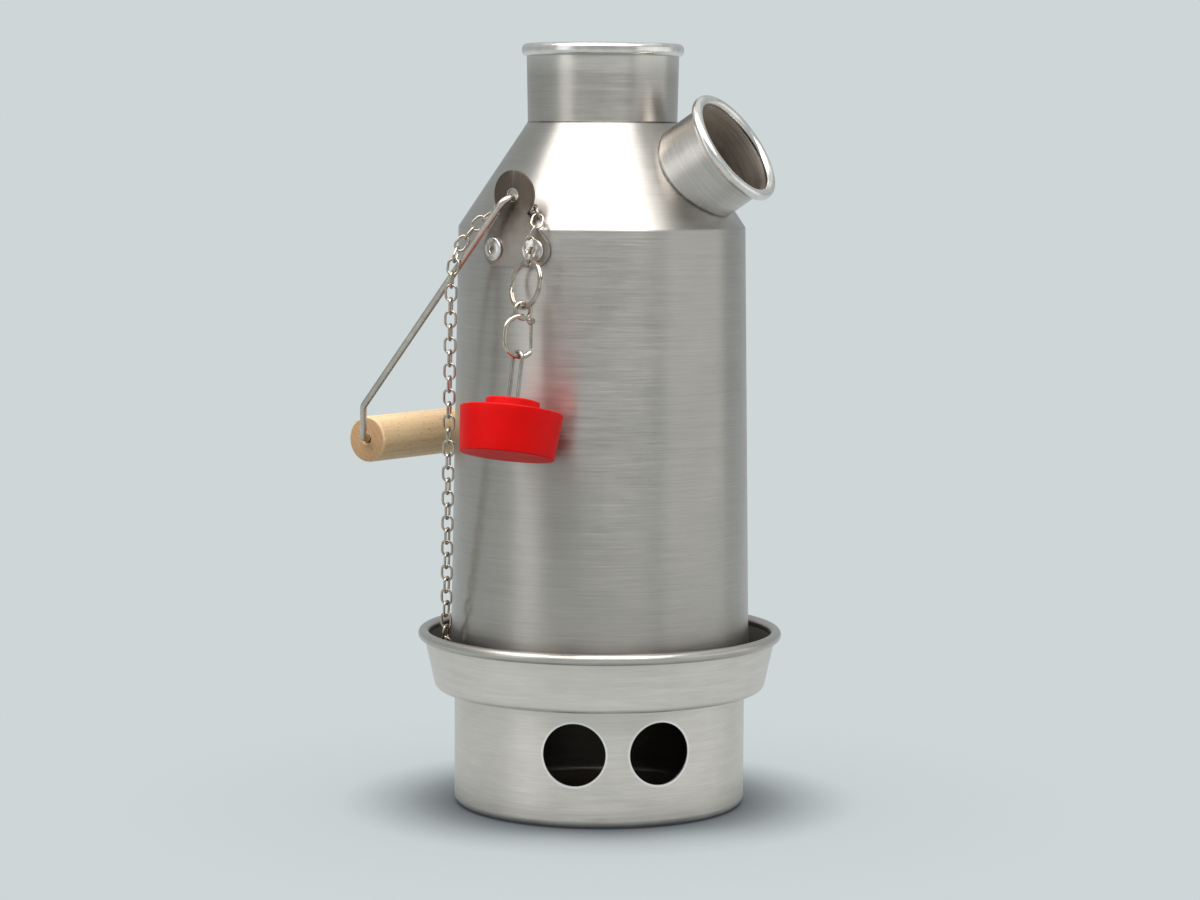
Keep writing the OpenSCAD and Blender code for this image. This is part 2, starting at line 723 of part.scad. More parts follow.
// Eye, head, open loop and the fork that holds the gate
module clasp_body() {
    color("lightgray") in_clasp() difference() {
        union() {
            clasp_head();
            translate([0, -clasp_eye_down])
                arc_wire(clasp_eye_r + clasp_eye_wire_r, 2 * clasp_eye_wire_r, 0, 360);
            translate(gate_top) rotate([0, 0, 90 + gate_from])
                wire([[0, clasp_loop_r, 180 - gate_from], [clasp_back, clasp_loop_r, 180 + nose_at]],
                     2 * clasp_wire_r);
            translate([gate_top[0], gate_top[1], -fork_half])
                cylinder(r = fork_r, h = 2 * fork_half, $fn = fine);
        }
        translate([gate_top[0], gate_top[1], -gate_t / 2 - pin_gap])
            cylinder(r = fork_r + rest_gap, h = gate_t + 2 * pin_gap, $fn = fine);
        translate([gate_top[0], gate_top[1], -fork_half - over])
            cylinder(r = gate_pin_r + joint_gap, h = 2 * fork_half + 2 * over, $fn = fine);
    }
}

module clasp_gate() {
    way = gate_end - gate_top;
    color("lightgray") in_clasp() translate([gate_top[0], gate_top[1], -gate_t / 2])
        rotate([0, 0, atan2(way[1], way[0])]) difference() {
            union() {
                cylinder(r = gate_boss_r, h = gate_t, $fn = fine);
                translate([0, -gate_w / 2, 0]) cube([norm(way), gate_w, gate_t]);
                translate([norm(way), 0, 0]) cylinder(d = gate_w, h = gate_t, $fn = fine);
            }
            translate([0, 0, -over]) cylinder(r = gate_pin_r + pin_gap, h = gate_t + 2 * over, $fn = fine);
        }
}

module gate_pin() {
    color("lightgray") in_clasp() translate([gate_top[0], gate_top[1], -fork_half])
        cylinder(r = gate_pin_r, h = 2 * fork_half, $fn = fine);
}

module in_pin() {
    hanging() rotate([90, 0, pin_face]) children();
}

// A bent wire whose two prongs are set in the stopper
module stopper_eye() {
    bend_r = pin_w / 2;
    foot_down = boss_down + pin_depth;
    prong = foot_down - pin_top_down - bend_r;
    color("silver") in_pin() translate([bend_r, -foot_down]) rotate([0, 0, 90])
        wire([[prong, bend_r, 180], [prong, 0, 0]], pin_wire);
}

module stopper() {
    color("red") difference() {
        hanging() {
            translate([0, 0, -plug_down]) cylinder(r = boss_r, h = boss_h);
            translate([0, 0, -plug_down - plug_h]) cylinder(r1 = plug_foot_r, r2 = plug_top_r, h = plug_h);
        }
        in_pin() for (side = [-1, 1])
            rod([side * pin_w / 2, -boss_down - pin_depth - joint_gap], [side * pin_w / 2, -boss_down + over],
                pin_wire + 2 * joint_gap);
    }
}

fire_base();
kettle_shell();
flue();
spout();
bracket_front();
bracket_rear();
rivets_front();
rivets_rear();
bail_wire();
wooden_grip();
chain_behind_bracket();
chain_over_bail();
chain_hanging();
chain_in_tray();
chain_lug();
lug_rivet();
stopper_link();
split_ring();
clasp_body();
clasp_gate();
gate_pin();
stopper_eye();
stopper();
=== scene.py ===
# Storm kettle on its fire base, as it stands in the photograph.
# Sizes are millimetres in the part's own frame, and a finished piece is scaled to metres.
import math

import bmesh
import bpy
from mathutils import Matrix, Quaternion, Vector


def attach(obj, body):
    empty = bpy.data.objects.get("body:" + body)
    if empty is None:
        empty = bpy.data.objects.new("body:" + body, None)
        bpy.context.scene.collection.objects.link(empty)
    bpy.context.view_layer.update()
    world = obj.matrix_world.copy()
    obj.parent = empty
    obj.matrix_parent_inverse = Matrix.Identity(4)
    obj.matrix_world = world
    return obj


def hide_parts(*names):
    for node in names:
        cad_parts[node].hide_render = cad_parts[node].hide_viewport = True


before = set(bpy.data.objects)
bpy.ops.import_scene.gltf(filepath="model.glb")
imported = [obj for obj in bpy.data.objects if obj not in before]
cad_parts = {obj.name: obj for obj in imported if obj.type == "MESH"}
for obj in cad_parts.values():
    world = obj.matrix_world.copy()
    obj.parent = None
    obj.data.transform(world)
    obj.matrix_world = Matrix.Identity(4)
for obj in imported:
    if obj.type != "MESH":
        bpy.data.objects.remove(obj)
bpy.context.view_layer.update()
scene = bpy.context.scene
MM = 0.001
PER_METRE = 1000
FULL = 2 * math.pi

# Fire base and its two vents
BASE_R = 59.6
BASE_H = 47.2
BASE_WALL = 0.9
BASE_BEND = 3.0
LEDGE_BEND = 0.6
TRAY_R = 67.4
RIM_R = 72.4
RIM_Z = 69.6
RIM_BEAD = 2.2
VENT_D = 25.2
VENT_Z = 29.4
VENT_HEADINGS = (-63.65, -29.95)

# Kettle shell, and the gap between pieces that are joined
GAP = 0.05
FOOT_Z = 48.15
BODY_R = 61.5
SHOULDER_R = 58.3
SHOULDER_Z = 236.35
NECK_R = 30.3
NECK_Z = 278.45
NECK_TOP_R = 31.05
NECK_TOP_Z = 304.95
SHELL_WALL = 0.8
SHELL_BEND = 2.4
TAPER = (BODY_R - SHOULDER_R) / (SHOULDER_Z - FOOT_Z)
CONE_LEAN = math.atan2(SHOULDER_R - NECK_R, NECK_Z - SHOULDER_Z)

# Flue and the lip of the chimney
FLUE_R = NECK_R - SHELL_WALL - GAP
FLUE_FOOT_R = 54.6
FLUE_WALL = 0.8
HEM_H = 5.0
HEM_BEND = 0.5
FLUE_BEND = 1.0
FLUE_IN_LIP = 1.0
LIP_Z = NECK_TOP_Z + GAP
LIP_H = 5.0
LIP_R = 32.8

# Spout, which stands a little up from the middle of the cone
SPOUT_UP = 1.3
SPOUT_X = (SHOULDER_R + NECK_R) / 2 - SPOUT_UP * math.sin(CONE_LEAN)
SPOUT_Z = (SHOULDER_Z + NECK_Z) / 2 + SPOUT_UP * math.cos(CONE_LEAN) + GAP
SPOUT_TILT = 33.0
SPOUT_HEADING = 8.0
SPOUT_R = 21.0
SPOUT_WALL = 0.9
SPOUT_LEN = 18.5
SPOUT_ROOT = 32.0
SPOUT_HOLE_FROM = 30.0
SPOUT_HOLE_LEN = 50.0
SPOUT_BEAD = 2.15

# Brackets
PLATE_T = 1.1
EYE_Z = 249.75
EYE_R = 2.5
HEAD_R = 9.8
WAIST = 6.7
LOBE_R = 6.8
RIVET_DROP = 21.4
RIVET_HALF = 9.6
PLATE_R = BODY_R - TAPER * (EYE_Z - RIVET_DROP - LOBE_R - FOOT_Z) + GAP

# Blind rivets
PIN_HOLE_R = 1.3
PIN_HOLE_DEPTH = 1.9
FLANGE_R = 4.6
FLANGE_H = 1.4
SHANK_R = 2.4
SHANK_LEN = 2.75
BULB_R = 3.4
BULB_END = 5.65

# Bail and grip
BAIL_D = 2.8
BAIL_HANG = 49.8
BAIL_BEND = 4.5
BAIL_PLAY = 0.1
PIVOT_Z = EYE_Z - EYE_R + BAIL_D / 2 + BAIL_PLAY
LEG_Y = PLATE_R + PLATE_T + 4.8
TIP_Y = PLATE_R - 3.4
LEG_LEN = 112.0
GRIP_LEN = 94.0
GRIP_D = 19.0
GRIP_BORE = 4.0
GRIP_DROP = 0.55
GRIP_PLAY = 0.4
SLANT = (LEG_Y - GRIP_LEN / 2 - GRIP_PLAY - BAIL_BEND / 2) * 4 / 3

# Chain and the lug that holds its last link
LINK_WIRE = 1.0
LINK_PITCH = 5.2
LINK_STEP = 1.15
LINK_BEND = 2.1
LEDGE_Z = BASE_H + BASE_WALL
LUG_WIRE_R = 0.6
LUG_WIRE_BEND = 0.7
LUG_ROOM = 2.6
LUG_SLACK = 0.4
LUG_MARGIN = 5.0
LUG_CORNER = 0.9

# What hangs from the chain's first link: where it hinges beside the eye, then distances down from there
HINGE_SIDE = 11.6
HINGE_OUT = 5.4
HINGE_DROP = 22.25
HINGE = Vector((HINGE_SIDE, -PLATE_R - HINGE_OUT, EYE_Z - HINGE_DROP))
HINGE_TURN = math.atan2(HINGE.x, -HINGE.y)
RING_R = 9.25
RING_T = 1.5
RING_HALF_THICK = 0.4
RING_COIL = 0.86
RING_DOWN = 12.6
RING_FACING = -27
RING_ENDS = 197
RING_TURN = 327
RING_STEP = 32
CLASP_FACING = 48
CLASP_EYE_DOWN = 22.8
CLASP_EYE_R = 3.15
CLASP_EYE_WIRE_R = 0.85
CLASP_TOP = 31.5
CLASP_LOW = 34.5
CLASP_R = 6.4
CLASP_WIRE_R = 1.0
CHEEK_HALF = 0.75
FORK_R = 1.41
FORK_IN = 0.51
FORK_OUT = 1.15
GATE_HALF_WIDE = 0.6
GATE_HALF_THICK = 0.45
GATE_EYE_R = 1.26
GATE_BORE_R = 0.56
GATE_PIN_R = 0.5
GATE_PLAY = 0.3
PRONG_FACING = -22
PRONG_TOP = 39.0
PRONG_WIDE = 5.2
PRONG_WIRE = 1.5
PRONG_DEPTH = 9.0
BOSS_DOWN = 58.05
BOSS_R = 10.6
BOSS_H = 4.0
PLUG_R = 20.2
PLUG_FOOT_R = 18.5
PLUG_H = 18.0
# The stopper leans out until its top edge lies against the kettle
PLUG_GAP = 0.3
PLUG_DOWN = BOSS_DOWN + BOSS_H
WALL_R = BODY_R - TAPER * (HINGE.z - PLUG_DOWN - FOOT_Z)
HINGE_R = math.hypot(HINGE.x, HINGE.y)
LEAN = (math.atan2(PLUG_R, PLUG_DOWN)
        + math.asin((WALL_R + PLUG_GAP - HINGE_R) / math.hypot(PLUG_DOWN, PLUG_R)))


# Lines that pieces are drawn from

def polar(r, degrees, z=0.0):
    a = math.radians(degrees)
    return Vector((r * math.cos(a), r * math.sin(a), z))


def spun(degrees, axis="Z"):
    return Matrix.Rotation(math.radians(degrees), 4, axis)


def shifted(*place):
    return Matrix.Translation(place)


def arc(centre, r, start, end, n):
    """Points of an arc in a plane, in degrees."""
    return [Vector(centre) + polar(r, start + (end - start) * i / n).to_2d() for i in range(n + 1)]


def bend(a, b, c, r, n=10):
    """Points of a round bend of radius r at corner b."""
    a, b, c = Vector(a), Vector(b), Vector(c)
    u, v = (a - b).normalized(), (c - b).normalized()
    half = u.angle(v) / 2
    middle = b + (u + v).normalized() * r / math.sin(half)
    s, e = b + u * r / math.tan(half) - middle, b + v * r / math.tan(half) - middle
    return [middle + s.slerp(e, i / n) * r for i in range(n + 1)]


def moved(path, d):
    """A path moved sideways by d, to its left."""
    out = []
    for i, p in enumerate(path):
        ways = [(path[k + 1] - path[k]).normalized() for k in (i - 1, i) if 0 <= k < len(path) - 1]
        lefts = [Vector((-w.y, w.x)) for w in ways]
        m = sum(lefts, Vector((0, 0))).normalized()
        out.append(p + m * d / m.dot(lefts[0]))
    return out


def sheet(path, d, lip=0.2):
    """Closed section of sheet metal along a path, with its free edges eased."""
    inner = moved(path, d)[::-1]
    ends = []
    for p, q in ((path[-1], inner[0]), (inner[-1], path[0])):
        w = (q - p).normalized() * min(lip, abs(d) / 3)
        ends.append([p + w, q - w])
    return path[:-1] + ends[0] + inner[1:-1] + ends[1]


def divided(points, longest):
    """The same line with long stretches divided."""
    out = [points[0]]
    for p, q in zip(points, points[1:]):
        n = max(1, math.ceil((q - p).length / longest))
        out += [p.lerp(q, k / n) for k in range(1, n + 1)]
    return out


# Ways of making a piece

def draw(bm, points, closed=False):
    """A line of edges through points."""
    verts = [bm.verts.new(p) for p in points]
    pairs = list(zip(verts, verts[1:])) + ([(verts[-1], verts[0])] if closed else [])
    return verts, [bm.edges.new(pair) for pair in pairs]


def turn(bm, profile, steps=192, place=Matrix(), closed=False, slot=0):
    """Turns a line of (radius, height) points about the Z axis of its place."""
    old = len(bm.faces)
    verts, edges = draw(bm, [place @ Vector((r, 0, z)) for r, z in profile], closed)
    bmesh.ops.spin(bm, geom=verts + edges, cent=place.translation, axis=place.col[2].to_3d(), angle=FULL,
                   steps=steps, use_merge=True)
    bm.faces.ensure_lookup_table()
    for face in bm.faces[old:]:
        face.material_index = slot


def open_ring(geom):
    """The ring of edges at the end of a length that has just grown."""
    verts = {v for v in geom if isinstance(v, bmesh.types.BMVert)}
    return [e for e in {e for v in verts for e in v.link_edges} if set(e.verts) <= verts]


def corners(edges):
    return list({v for e in edges for v in e.verts})


def round_end(bm, place, r, sides=14):
    """Ring that a round wire starts from, square to the X axis of its place."""
    grown = bmesh.ops.create_circle(bm, segments=sides, radius=r, matrix=place @ spun(90, "Y"))
    return open_ring(grown["verts"])


def flat_end(bm, place, half_wide, half_thick, ease):
    """Ring that a flat wire starts from: a rectangle in YZ with its corners cut."""
    a, b = half_wide, half_thick
    quarter = [(a, b - ease), (a - ease, b), (ease - a, b), (-a, b - ease)]
    ring = quarter + [(-y, -z) for y, z in quarter]
    return draw(bm, [place @ Vector((0, y, z)) for y, z in ring], closed=True)[1]


def bent_wire(bm, ring, place, lengths, fine=9, joined=False, ease=0.0):
    """Runs a wire on from its first ring, by lengths of (straight, bend radius, degrees to the left, rise).
    A bend has a step for every so many degrees, as fine says."""
    first, at, heading = ring, Vector((0, 0, 0)), 0.0
    square = place.to_3x3()
    for straight, r, degrees, *rise in lengths:
        if straight > 0:
            ring = open_ring(bmesh.ops.extrude_edge_only(bm, edges=ring)["geom"])
            step = polar(straight, heading)
            bmesh.ops.translate(bm, vec=square @ step, verts=corners(ring))
            at += step
        if degrees:
            middle = at + polar(math.copysign(r, degrees), heading + 90)
            steps = max(4, round(abs(degrees) / fine))
            climb = square @ Vector((0, 0, rise[0] / steps)) if rise else Vector((0, 0, 0))
            grown = bmesh.ops.spin(bm, geom=corners(ring) + ring, cent=place @ middle, axis=square.col[2],
                                   dvec=climb, angle=math.radians(degrees), steps=steps)
            ring = open_ring(grown["geom_last"])
            at = middle + spun(degrees).to_3x3() @ (at - middle)
            heading += degrees
    if joined:
        return
    for end in (first, ring):
        bmesh.ops.edgeloop_fill(bm, edges=end)
        if ease:
            bmesh.ops.bevel(bm, geom=end, offset=ease, offset_type="OFFSET", affect="EDGES", segments=2,
                            profile=0.5, material=-1)


def flat_bar(bm, place, outline, low, high):
    """Flat piece with an outline in XY, from one height to another."""
    edges = draw(bm, [place @ Vector((*p, low)) for p in outline], closed=True)[1]
    grown = bmesh.ops.triangle_fill(bm, edges=edges, use_beauty=True)["geom"]
    faces = [f for f in grown if isinstance(f, bmesh.types.BMFace)]
    top = bmesh.ops.extrude_face_region(bm, geom=faces, use_keep_orig=True)["geom"]
    bmesh.ops.translate(bm, vec=place.to_3x3() @ Vector((0, 0, high - low)),
                        verts=[v for v in top if isinstance(v, bmesh.types.BMVert)])


def bent_plate(bm, loops, radius, thick, height, heading, ease=0.22, strip=1.6, snap=0.1, join=0.12):
    """Plate bent round the kettle's wall, from flat loops of (sideways, up) points. It is cut into upright
    strips first, so that it can bend."""
    edges = [e for loop in loops for e in draw(bm, [(p[0], 0, p[1]) for p in loop], closed=True)[1]]
    bmesh.ops.triangle_fill(bm, edges=edges, use_beauty=True)
    wide = max(p[0] for p in loops[0])
    for k in range(1, math.ceil(2 * wide / strip)):
        everything = bm.verts[:] + bm.edges[:] + bm.faces[:]
        bmesh.ops.bisect_plane(bm, geom=everything, dist=snap, plane_co=(k * strip - wide, 0, 0),
                               plane_no=(1, 0, 0))
    bmesh.ops.remove_doubles(bm, verts=bm.verts, dist=join)
    grown = bmesh.ops.extrude_face_region(bm, geom=bm.faces[:], use_keep_orig=True)["geom"]
    outside = {v for v in grown if isinstance(v, bmesh.types.BMVert)}
    walls = [f for f in bm.faces if len({v in outside for v in f.verts}) == 2]
    rims = {e for f in walls for e in f.edges if (e.verts[0] in outside) == (e.verts[1] in outside)}
    for v in bm.verts:
        r = radius + (thick if v in outside else 0)
        v.co = spun(heading + 90) @ Vector((v.co.x, -math.sqrt(r * r - v.co.x ** 2), height + v.co.z))
    bmesh.ops.recalc_face_normals(bm, faces=bm.faces)
    return bmesh.ops.bevel(bm, geom=list(rims), offset=ease, offset_type="OFFSET", affect="EDGES", segments=2,
                           profile=0.5, material=-1)["faces"]


def smooth(mesh, degrees=32):
    mesh.shade_smooth()
    mesh.set_sharp_from_angle(angle=math.radians(degrees))


def solid(bm, name):
    """Closes a shape's seams and poles, faces it outwards and scales it to metres."""
    bmesh.ops.remove_doubles(bm, verts=bm.verts, dist=0.001)
    bmesh.ops.recalc_face_normals(bm, faces=bm.faces)
    bmesh.ops.scale(bm, vec=(MM, MM, MM), verts=bm.verts)
    mesh = bpy.data.meshes.new(name)
    bm.to_mesh(mesh)
    bm.free()
    smooth(mesh)
    obj = bpy.data.objects.new(name, mesh)
    scene.collection.objects.link(obj)
    return obj


def piece(bm, name, body, slot, nodes, *finishes):
    """A finished piece on its body, in place of the nodes that it dresses."""
    obj = solid(bm, name)
    for finish in finishes:
        obj.data.materials.append(finish)
    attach(obj, body)
    if nodes:
        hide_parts(*nodes)
    return obj


def cut(obj, *tools):
    """Takes tools out of a piece for good."""
    for tool in tools:
        taken = obj.modifiers.new("cut", "BOOLEAN")
        taken.operation, taken.solver, taken.object = "DIFFERENCE", "EXACT", tool
    mesh = bpy.data.meshes.new_from_object(obj.evaluated_get(bpy.context.evaluated_depsgraph_get()))
    obj.modifiers.clear()
    old, obj.data = obj.data, mesh
    bpy.data.meshes.remove(old)
    mesh.name = obj.name
    for tool in tools:
        bpy.data.meshes.remove(tool.data)
    smooth(mesh)


def drill(place, r, length):
    """Round tool along the Z axis of its place."""
    bm = bmesh.new()
    bmesh.ops.create_cone(bm, cap_ends=True, segments=72, radius1=r, radius2=r, depth=length,
                          matrix=place @ shifted(0, 0, length / 2))
    return solid(bm, "drill")


def at_wall(heading, r, z):
    """Frame on a wall whose Z points outwards."""
    return spun(heading) @ shifted(r, 0, z) @ spun(90, "Y")


# Materials

# Sockets of a Mix node, by what it mixes
NUMBER_A, NUMBER_B = 2, 3
COLOUR_A, COLOUR_B, MIXED = 6, 7, 2
# Most of a noise texture's values lie in this span
NOISE_SPAN = {"From Min": 0.3, "From Max": 0.7}
# Convex edges, by how pointed they are
EDGE_SPAN = {"From Min": 0.53, "From Max": 0.62}


def rgb(hexed):
    """Linear colour of an sRGB hex value."""
    parts = [int(hexed[i:i + 2], 16) / 255 for i in (0, 2, 4)]
    return (*[c / 12.92 if c <= 0.04045 else ((c + 0.055) / 1.055) ** 2.4 for c in parts], 1.0)


def node(tree, kind, inputs=None, **settings):
    """Adds one node with its settings, and sets or links its inputs."""
    made = tree.nodes.new("ShaderNode" + kind)
    for key, value in settings.items():
        setattr(made, key, value)
    for key, value in (inputs or {}).items():
        if isinstance(value, bpy.types.NodeSocket):
            tree.links.new(value, made.inputs[key])
        else:
            made.inputs[key].default_value = value
    return made


def blank(name):
    """A material with no nodes yet."""
    m = bpy.data.materials.new(name)
    m.use_nodes = True
    m.node_tree.nodes.clear()
    return m, m.node_tree


def from_axis(t, spot):
    """Distance of a spot from the Z axis."""
    flat = node(t, "VectorMath", {0: spot, 1: (1, 1, 0)}, operation="MULTIPLY").outputs[0]
    return node(t, "VectorMath", {0: flat}, operation="LENGTH").outputs["Value"]


def vent_edge_highlight(t, here, colour, heading):
    """A painted highlight: a bright band, 1 mm wide, round the edge of a punched vent."""
    vent = at_wall(heading, 0, VENT_Z)
    seen = node(t, "Mapping", {"Vector": here, "Location": vent.translation * MM,
                               "Rotation": vent.to_euler()}, vector_type="TEXTURE").outputs[0]
    fades = {"From Min": (VENT_D / 2 + 1.0) * MM, "From Max": (VENT_D / 2 + 0.5) * MM}
    band = node(t, "MapRange", {"Value": from_axis(t, seen), **fades, "To Max": 0.7}).outputs[0]
    front = node(t, "SeparateXYZ", {0: seen}).outputs[2]
    ahead = node(t, "Math", {0: front, 1: 0.0}, operation="GREATER_THAN").outputs[0]
    band = node(t, "Math", {0: band, 1: ahead}, operation="MULTIPLY").outputs[0]
    return node(t, "Mix", {0: band, COLOUR_A: colour, COLOUR_B: rgb("fffdf8")},
                data_type="RGBA").outputs[MIXED]


def painted_joint_shade(t, here, colour, smear, slope, reach, fade):
    """Patchy painted shade along a joint: where slope * r + z = reach, in metres, for as far as it fades
    over.
    """
    up = node(t, "SeparateXYZ", {0: here}).outputs[2]
    off = node(t, "Math", {0: from_axis(t, here), 1: slope, 2: up}, operation="MULTIPLY_ADD").outputs[0]
    off = node(t, "Math", {0: off, 1: reach}, operation="SUBTRACT").outputs[0]
    off = node(t, "Math", {0: off}, operation="ABSOLUTE").outputs[0]
    near = node(t, "MapRange", {"Value": off, "From Min": fade, "From Max": fade * 0.4}).outputs[0]
    patchy = node(t, "MapRange", {"Value": smear, **NOISE_SPAN, "To Min": 0.3, "To Max": 0.9}).outputs[0]
    painted_shade = node(t, "Math", {0: near, 1: patchy}, operation="MULTIPLY").outputs[0]
    return node(t, "Mix", {0: painted_shade, COLOUR_A: colour, COLOUR_B: rgb("1c1815")}, data_type="RGBA",
                blend_type="MULTIPLY").outputs[MIXED]


def brushed_steel(name, dark, light, rough=(0.28, 0.42), pull=0.75, hair_mm=0.7, relief=0.08, stain=0.1,
                  leaning=None, shaded_joint=None, highlit_vents=()):
    """Stainless sheet, brushed round its axis: fine hairs that draw each highlight out across them, with dull
    smears. The hairs of real brushing are near 0.05 mm, and are drawn coarser so that they show."""
    m, t = blank(name)
    here = node(t, "TexCoord").outputs["Object"]
    spot = here
    if leaning:
        spot = node(t, "Mapping", {"Vector": here, "Location": leaning.translation * MM,
                                   "Rotation": leaning.to_euler()}, vector_type="TEXTURE").outputs[0]
    x, y, z = node(t, "SeparateXYZ", {0: spot}).outputs
    # Marks run round the axis on upright, sloping and level faces
    across = node(t, "Math", {0: z, 1: from_axis(t, spot)}, operation="SUBTRACT").outputs[0]
    along = node(t, "CombineXYZ", {0: x, 1: y, 2: across}).outputs[0]
    layers = []
    # Length and width of the marks, in millimetres: streaks, hairs, smears and clouds
    for long_mm, wide_mm, detail in ((38, hair_mm, 5), (15, hair_mm * 0.3, 2), (17, 17, 6), (45, 45, 3)):
        size = (PER_METRE / long_mm, PER_METRE / long_mm, PER_METRE / wide_mm)
        drawn = node(t, "VectorMath", {0: along, 1: size}, operation="MULTIPLY").outputs[0]
        marks = node(t, "TexNoise", {"Vector": drawn, "Scale": 1.0, "Detail": detail, "Roughness": 0.7})
        layers.append(marks.outputs[0])
    streak, hair, smear, cloud = layers
    grain = node(t, "Mix", {0: 0.45, NUMBER_A: streak, NUMBER_B: hair}, data_type="FLOAT").outputs[0]
    tone = node(t, "MapRange", {"Value": grain, **NOISE_SPAN}).outputs[0]
    colour = node(t, "Mix", {0: tone, COLOUR_A: rgb(dark), COLOUR_B: rgb(light)},
                  data_type="RGBA").outputs[MIXED]
    dull = node(t, "MapRange", {"Value": cloud, "From Min": 0.35, "From Max": 0.75, "To Max": stain})
    colour = node(t, "Mix", {0: dull.outputs[0], COLOUR_A: colour, COLOUR_B: rgb("6e6862")}, data_type="RGBA",
                  blend_type="MULTIPLY").outputs[MIXED]
    edge = node(t, "NewGeometry").outputs["Pointiness"]
    worn = node(t, "MapRange", {"Value": edge, **EDGE_SPAN, "To Max": 0.55}).outputs[0]
    colour = node(t, "Mix", {0: worn, COLOUR_A: colour, COLOUR_B: rgb("f2efe9")},
                  data_type="RGBA").outputs[MIXED]
    # Painted highlights round the vents' edges
    for heading in highlit_vents:
        colour = vent_edge_highlight(t, here, colour, heading)
    # Painted shade along a joint, made patchy by the smears
    if shaded_joint:
        colour = painted_joint_shade(t, here, colour, smear, *shaded_joint)
    glossy, matt = rough
    gloss = node(t, "MapRange", {"Value": grain, **NOISE_SPAN, "To Min": glossy, "To Max": matt}).outputs[0]
    greasy = node(t, "MapRange", {"Value": smear, **NOISE_SPAN, "To Min": -0.03, "To Max": 0.05}).outputs[0]
    gloss = node(t, "Math", {0: gloss, 1: greasy}, operation="ADD").outputs[0]
    bump = node(t, "Bump", {"Strength": relief, "Distance": 0.0004, "Height": grain}).outputs[0]
    round_axis = node(t, "Tangent", direction_type="RADIAL", axis="Z").outputs[0]
    steel = node(t, "BsdfPrincipled", {"Base Color": colour, "Metallic": 1.0, "Roughness": gloss,
                                       "Normal": bump, "Tangent": round_axis, "Anisotropic": pull,
                                       "Anisotropic Rotation": 0.25})
    node(t, "OutputMaterial", {"Surface": steel.outputs[0]})
    return m


def polished_metal(name, dark, light, rough=(0.08, 0.24), smear_mm=6.8, pit_mm=0.4, relief=0.012):
    """Drawn, turned or plated metal: clear reflections, broken a little by pits and by finger smears."""
    m, t = blank(name)
    here = node(t, "TexCoord").outputs["Object"]
    pits = node(t, "TexNoise", {"Vector": here, "Scale": PER_METRE / pit_mm, "Detail": 3.0,
                                "Roughness": 0.6}).outputs[0]
    smear = node(t, "TexNoise", {"Vector": here, "Scale": PER_METRE / smear_mm, "Detail": 4.0,
                                 "Roughness": 0.7}).outputs[0]
    tone = node(t, "MapRange", {"Value": smear, **NOISE_SPAN}).outputs[0]
    colour = node(t, "Mix", {0: tone, COLOUR_A: rgb(dark), COLOUR_B: rgb(light)},
                  data_type="RGBA").outputs[MIXED]
    edge = node(t, "NewGeometry").outputs["Pointiness"]
    grime = node(t, "MapRange", {"Value": edge, "From Min": 0.5, "From Max": 0.42, "To Max": 0.35}).outputs[0]
    colour = node(t, "Mix", {0: grime, COLOUR_A: colour, COLOUR_B: rgb("5a4e42")}, data_type="RGBA",
                  blend_type="MULTIPLY").outputs[MIXED]
    glossy, matt = rough
    gloss = node(t, "MapRange", {"Value": smear, **NOISE_SPAN, "To Min": glossy, "To Max": matt}).outputs[0]
    gloss = node(t, "Math", {0: pits, 1: 0.04, 2: gloss}, operation="MULTIPLY_ADD").outputs[0]
    bump = node(t, "Bump", {"Strength": relief, "Distance": 0.0002, "Height": pits}).outputs[0]
    metal = node(t, "BsdfPrincipled", {"Base Color": colour, "Metallic": 1.0, "Roughness": gloss,
                                       "Normal": bump})
    node(t, "OutputMaterial", {"Surface": metal.outputs[0]})
    return m


def satin_plate(name, low, high, cloud_mm=9, fine_mm=0.8, shade_from=0.234, shade_to=0.254):
    """Satin steel plate, turned darker and browner towards the eye by a painted reflection. The heights at
    which it turns darker are in metres."""
    m, t = blank(name)
    here = node(t, "TexCoord").outputs["Object"]
    up = node(t, "SeparateXYZ", {0: here}).outputs[2]
    cloud = node(t, "TexNoise", {"Vector": here, "Scale": PER_METRE / cloud_mm, "Detail": 4.0,
                                 "Roughness": 0.65}).outputs[0]
    fine = node(t, "TexNoise", {"Vector": here, "Scale": PER_METRE / fine_mm, "Detail": 3.0,
                                "Roughness": 0.6}).outputs[0]
    lift = node(t, "Math", {0: cloud, 1: 0.016, 2: up}, operation="MULTIPLY_ADD").outputs[0]
    # Painted reflection: darker and browner towards the eye
    painted_reflection = node(t, "MapRange", {"Value": lift, "From Min": shade_from, "From Max": shade_to}).outputs[0]
    colour = node(t, "Mix", {0: painted_reflection, COLOUR_A: rgb(low), COLOUR_B: rgb(high)},
                  data_type="RGBA").outputs[MIXED]
    speckle = node(t, "MapRange", {"Value": fine, "From Min": 0.4, "From Max": 0.7, "To Max": 0.25})
    colour = node(t, "Mix", {0: speckle.outputs[0], COLOUR_A: colour, COLOUR_B: rgb("d8cfc4")},
                  data_type="RGBA", blend_type="OVERLAY").outputs[MIXED]
    edge = node(t, "NewGeometry").outputs["Pointiness"]
    worn = node(t, "MapRange", {"Value": edge, **EDGE_SPAN, "To Max": 0.5}).outputs[0]
    colour = node(t, "Mix", {0: worn, COLOUR_A: colour, COLOUR_B: rgb("e6dfd6")},
                  data_type="RGBA").outputs[MIXED]
    gloss = node(t, "MapRange", {"Value": fine, **NOISE_SPAN, "To Min": 0.3, "To Max": 0.42}).outputs[0]
    bump = node(t, "Bump", {"Strength": 0.05, "Distance": 0.0002, "Height": fine}).outputs[0]
    plate = node(t, "BsdfPrincipled", {"Base Color": colour, "Metallic": 1.0, "Roughness": gloss,
                                       "Normal": bump})
    node(t, "OutputMaterial", {"Surface": plate.outputs[0]})
    return m


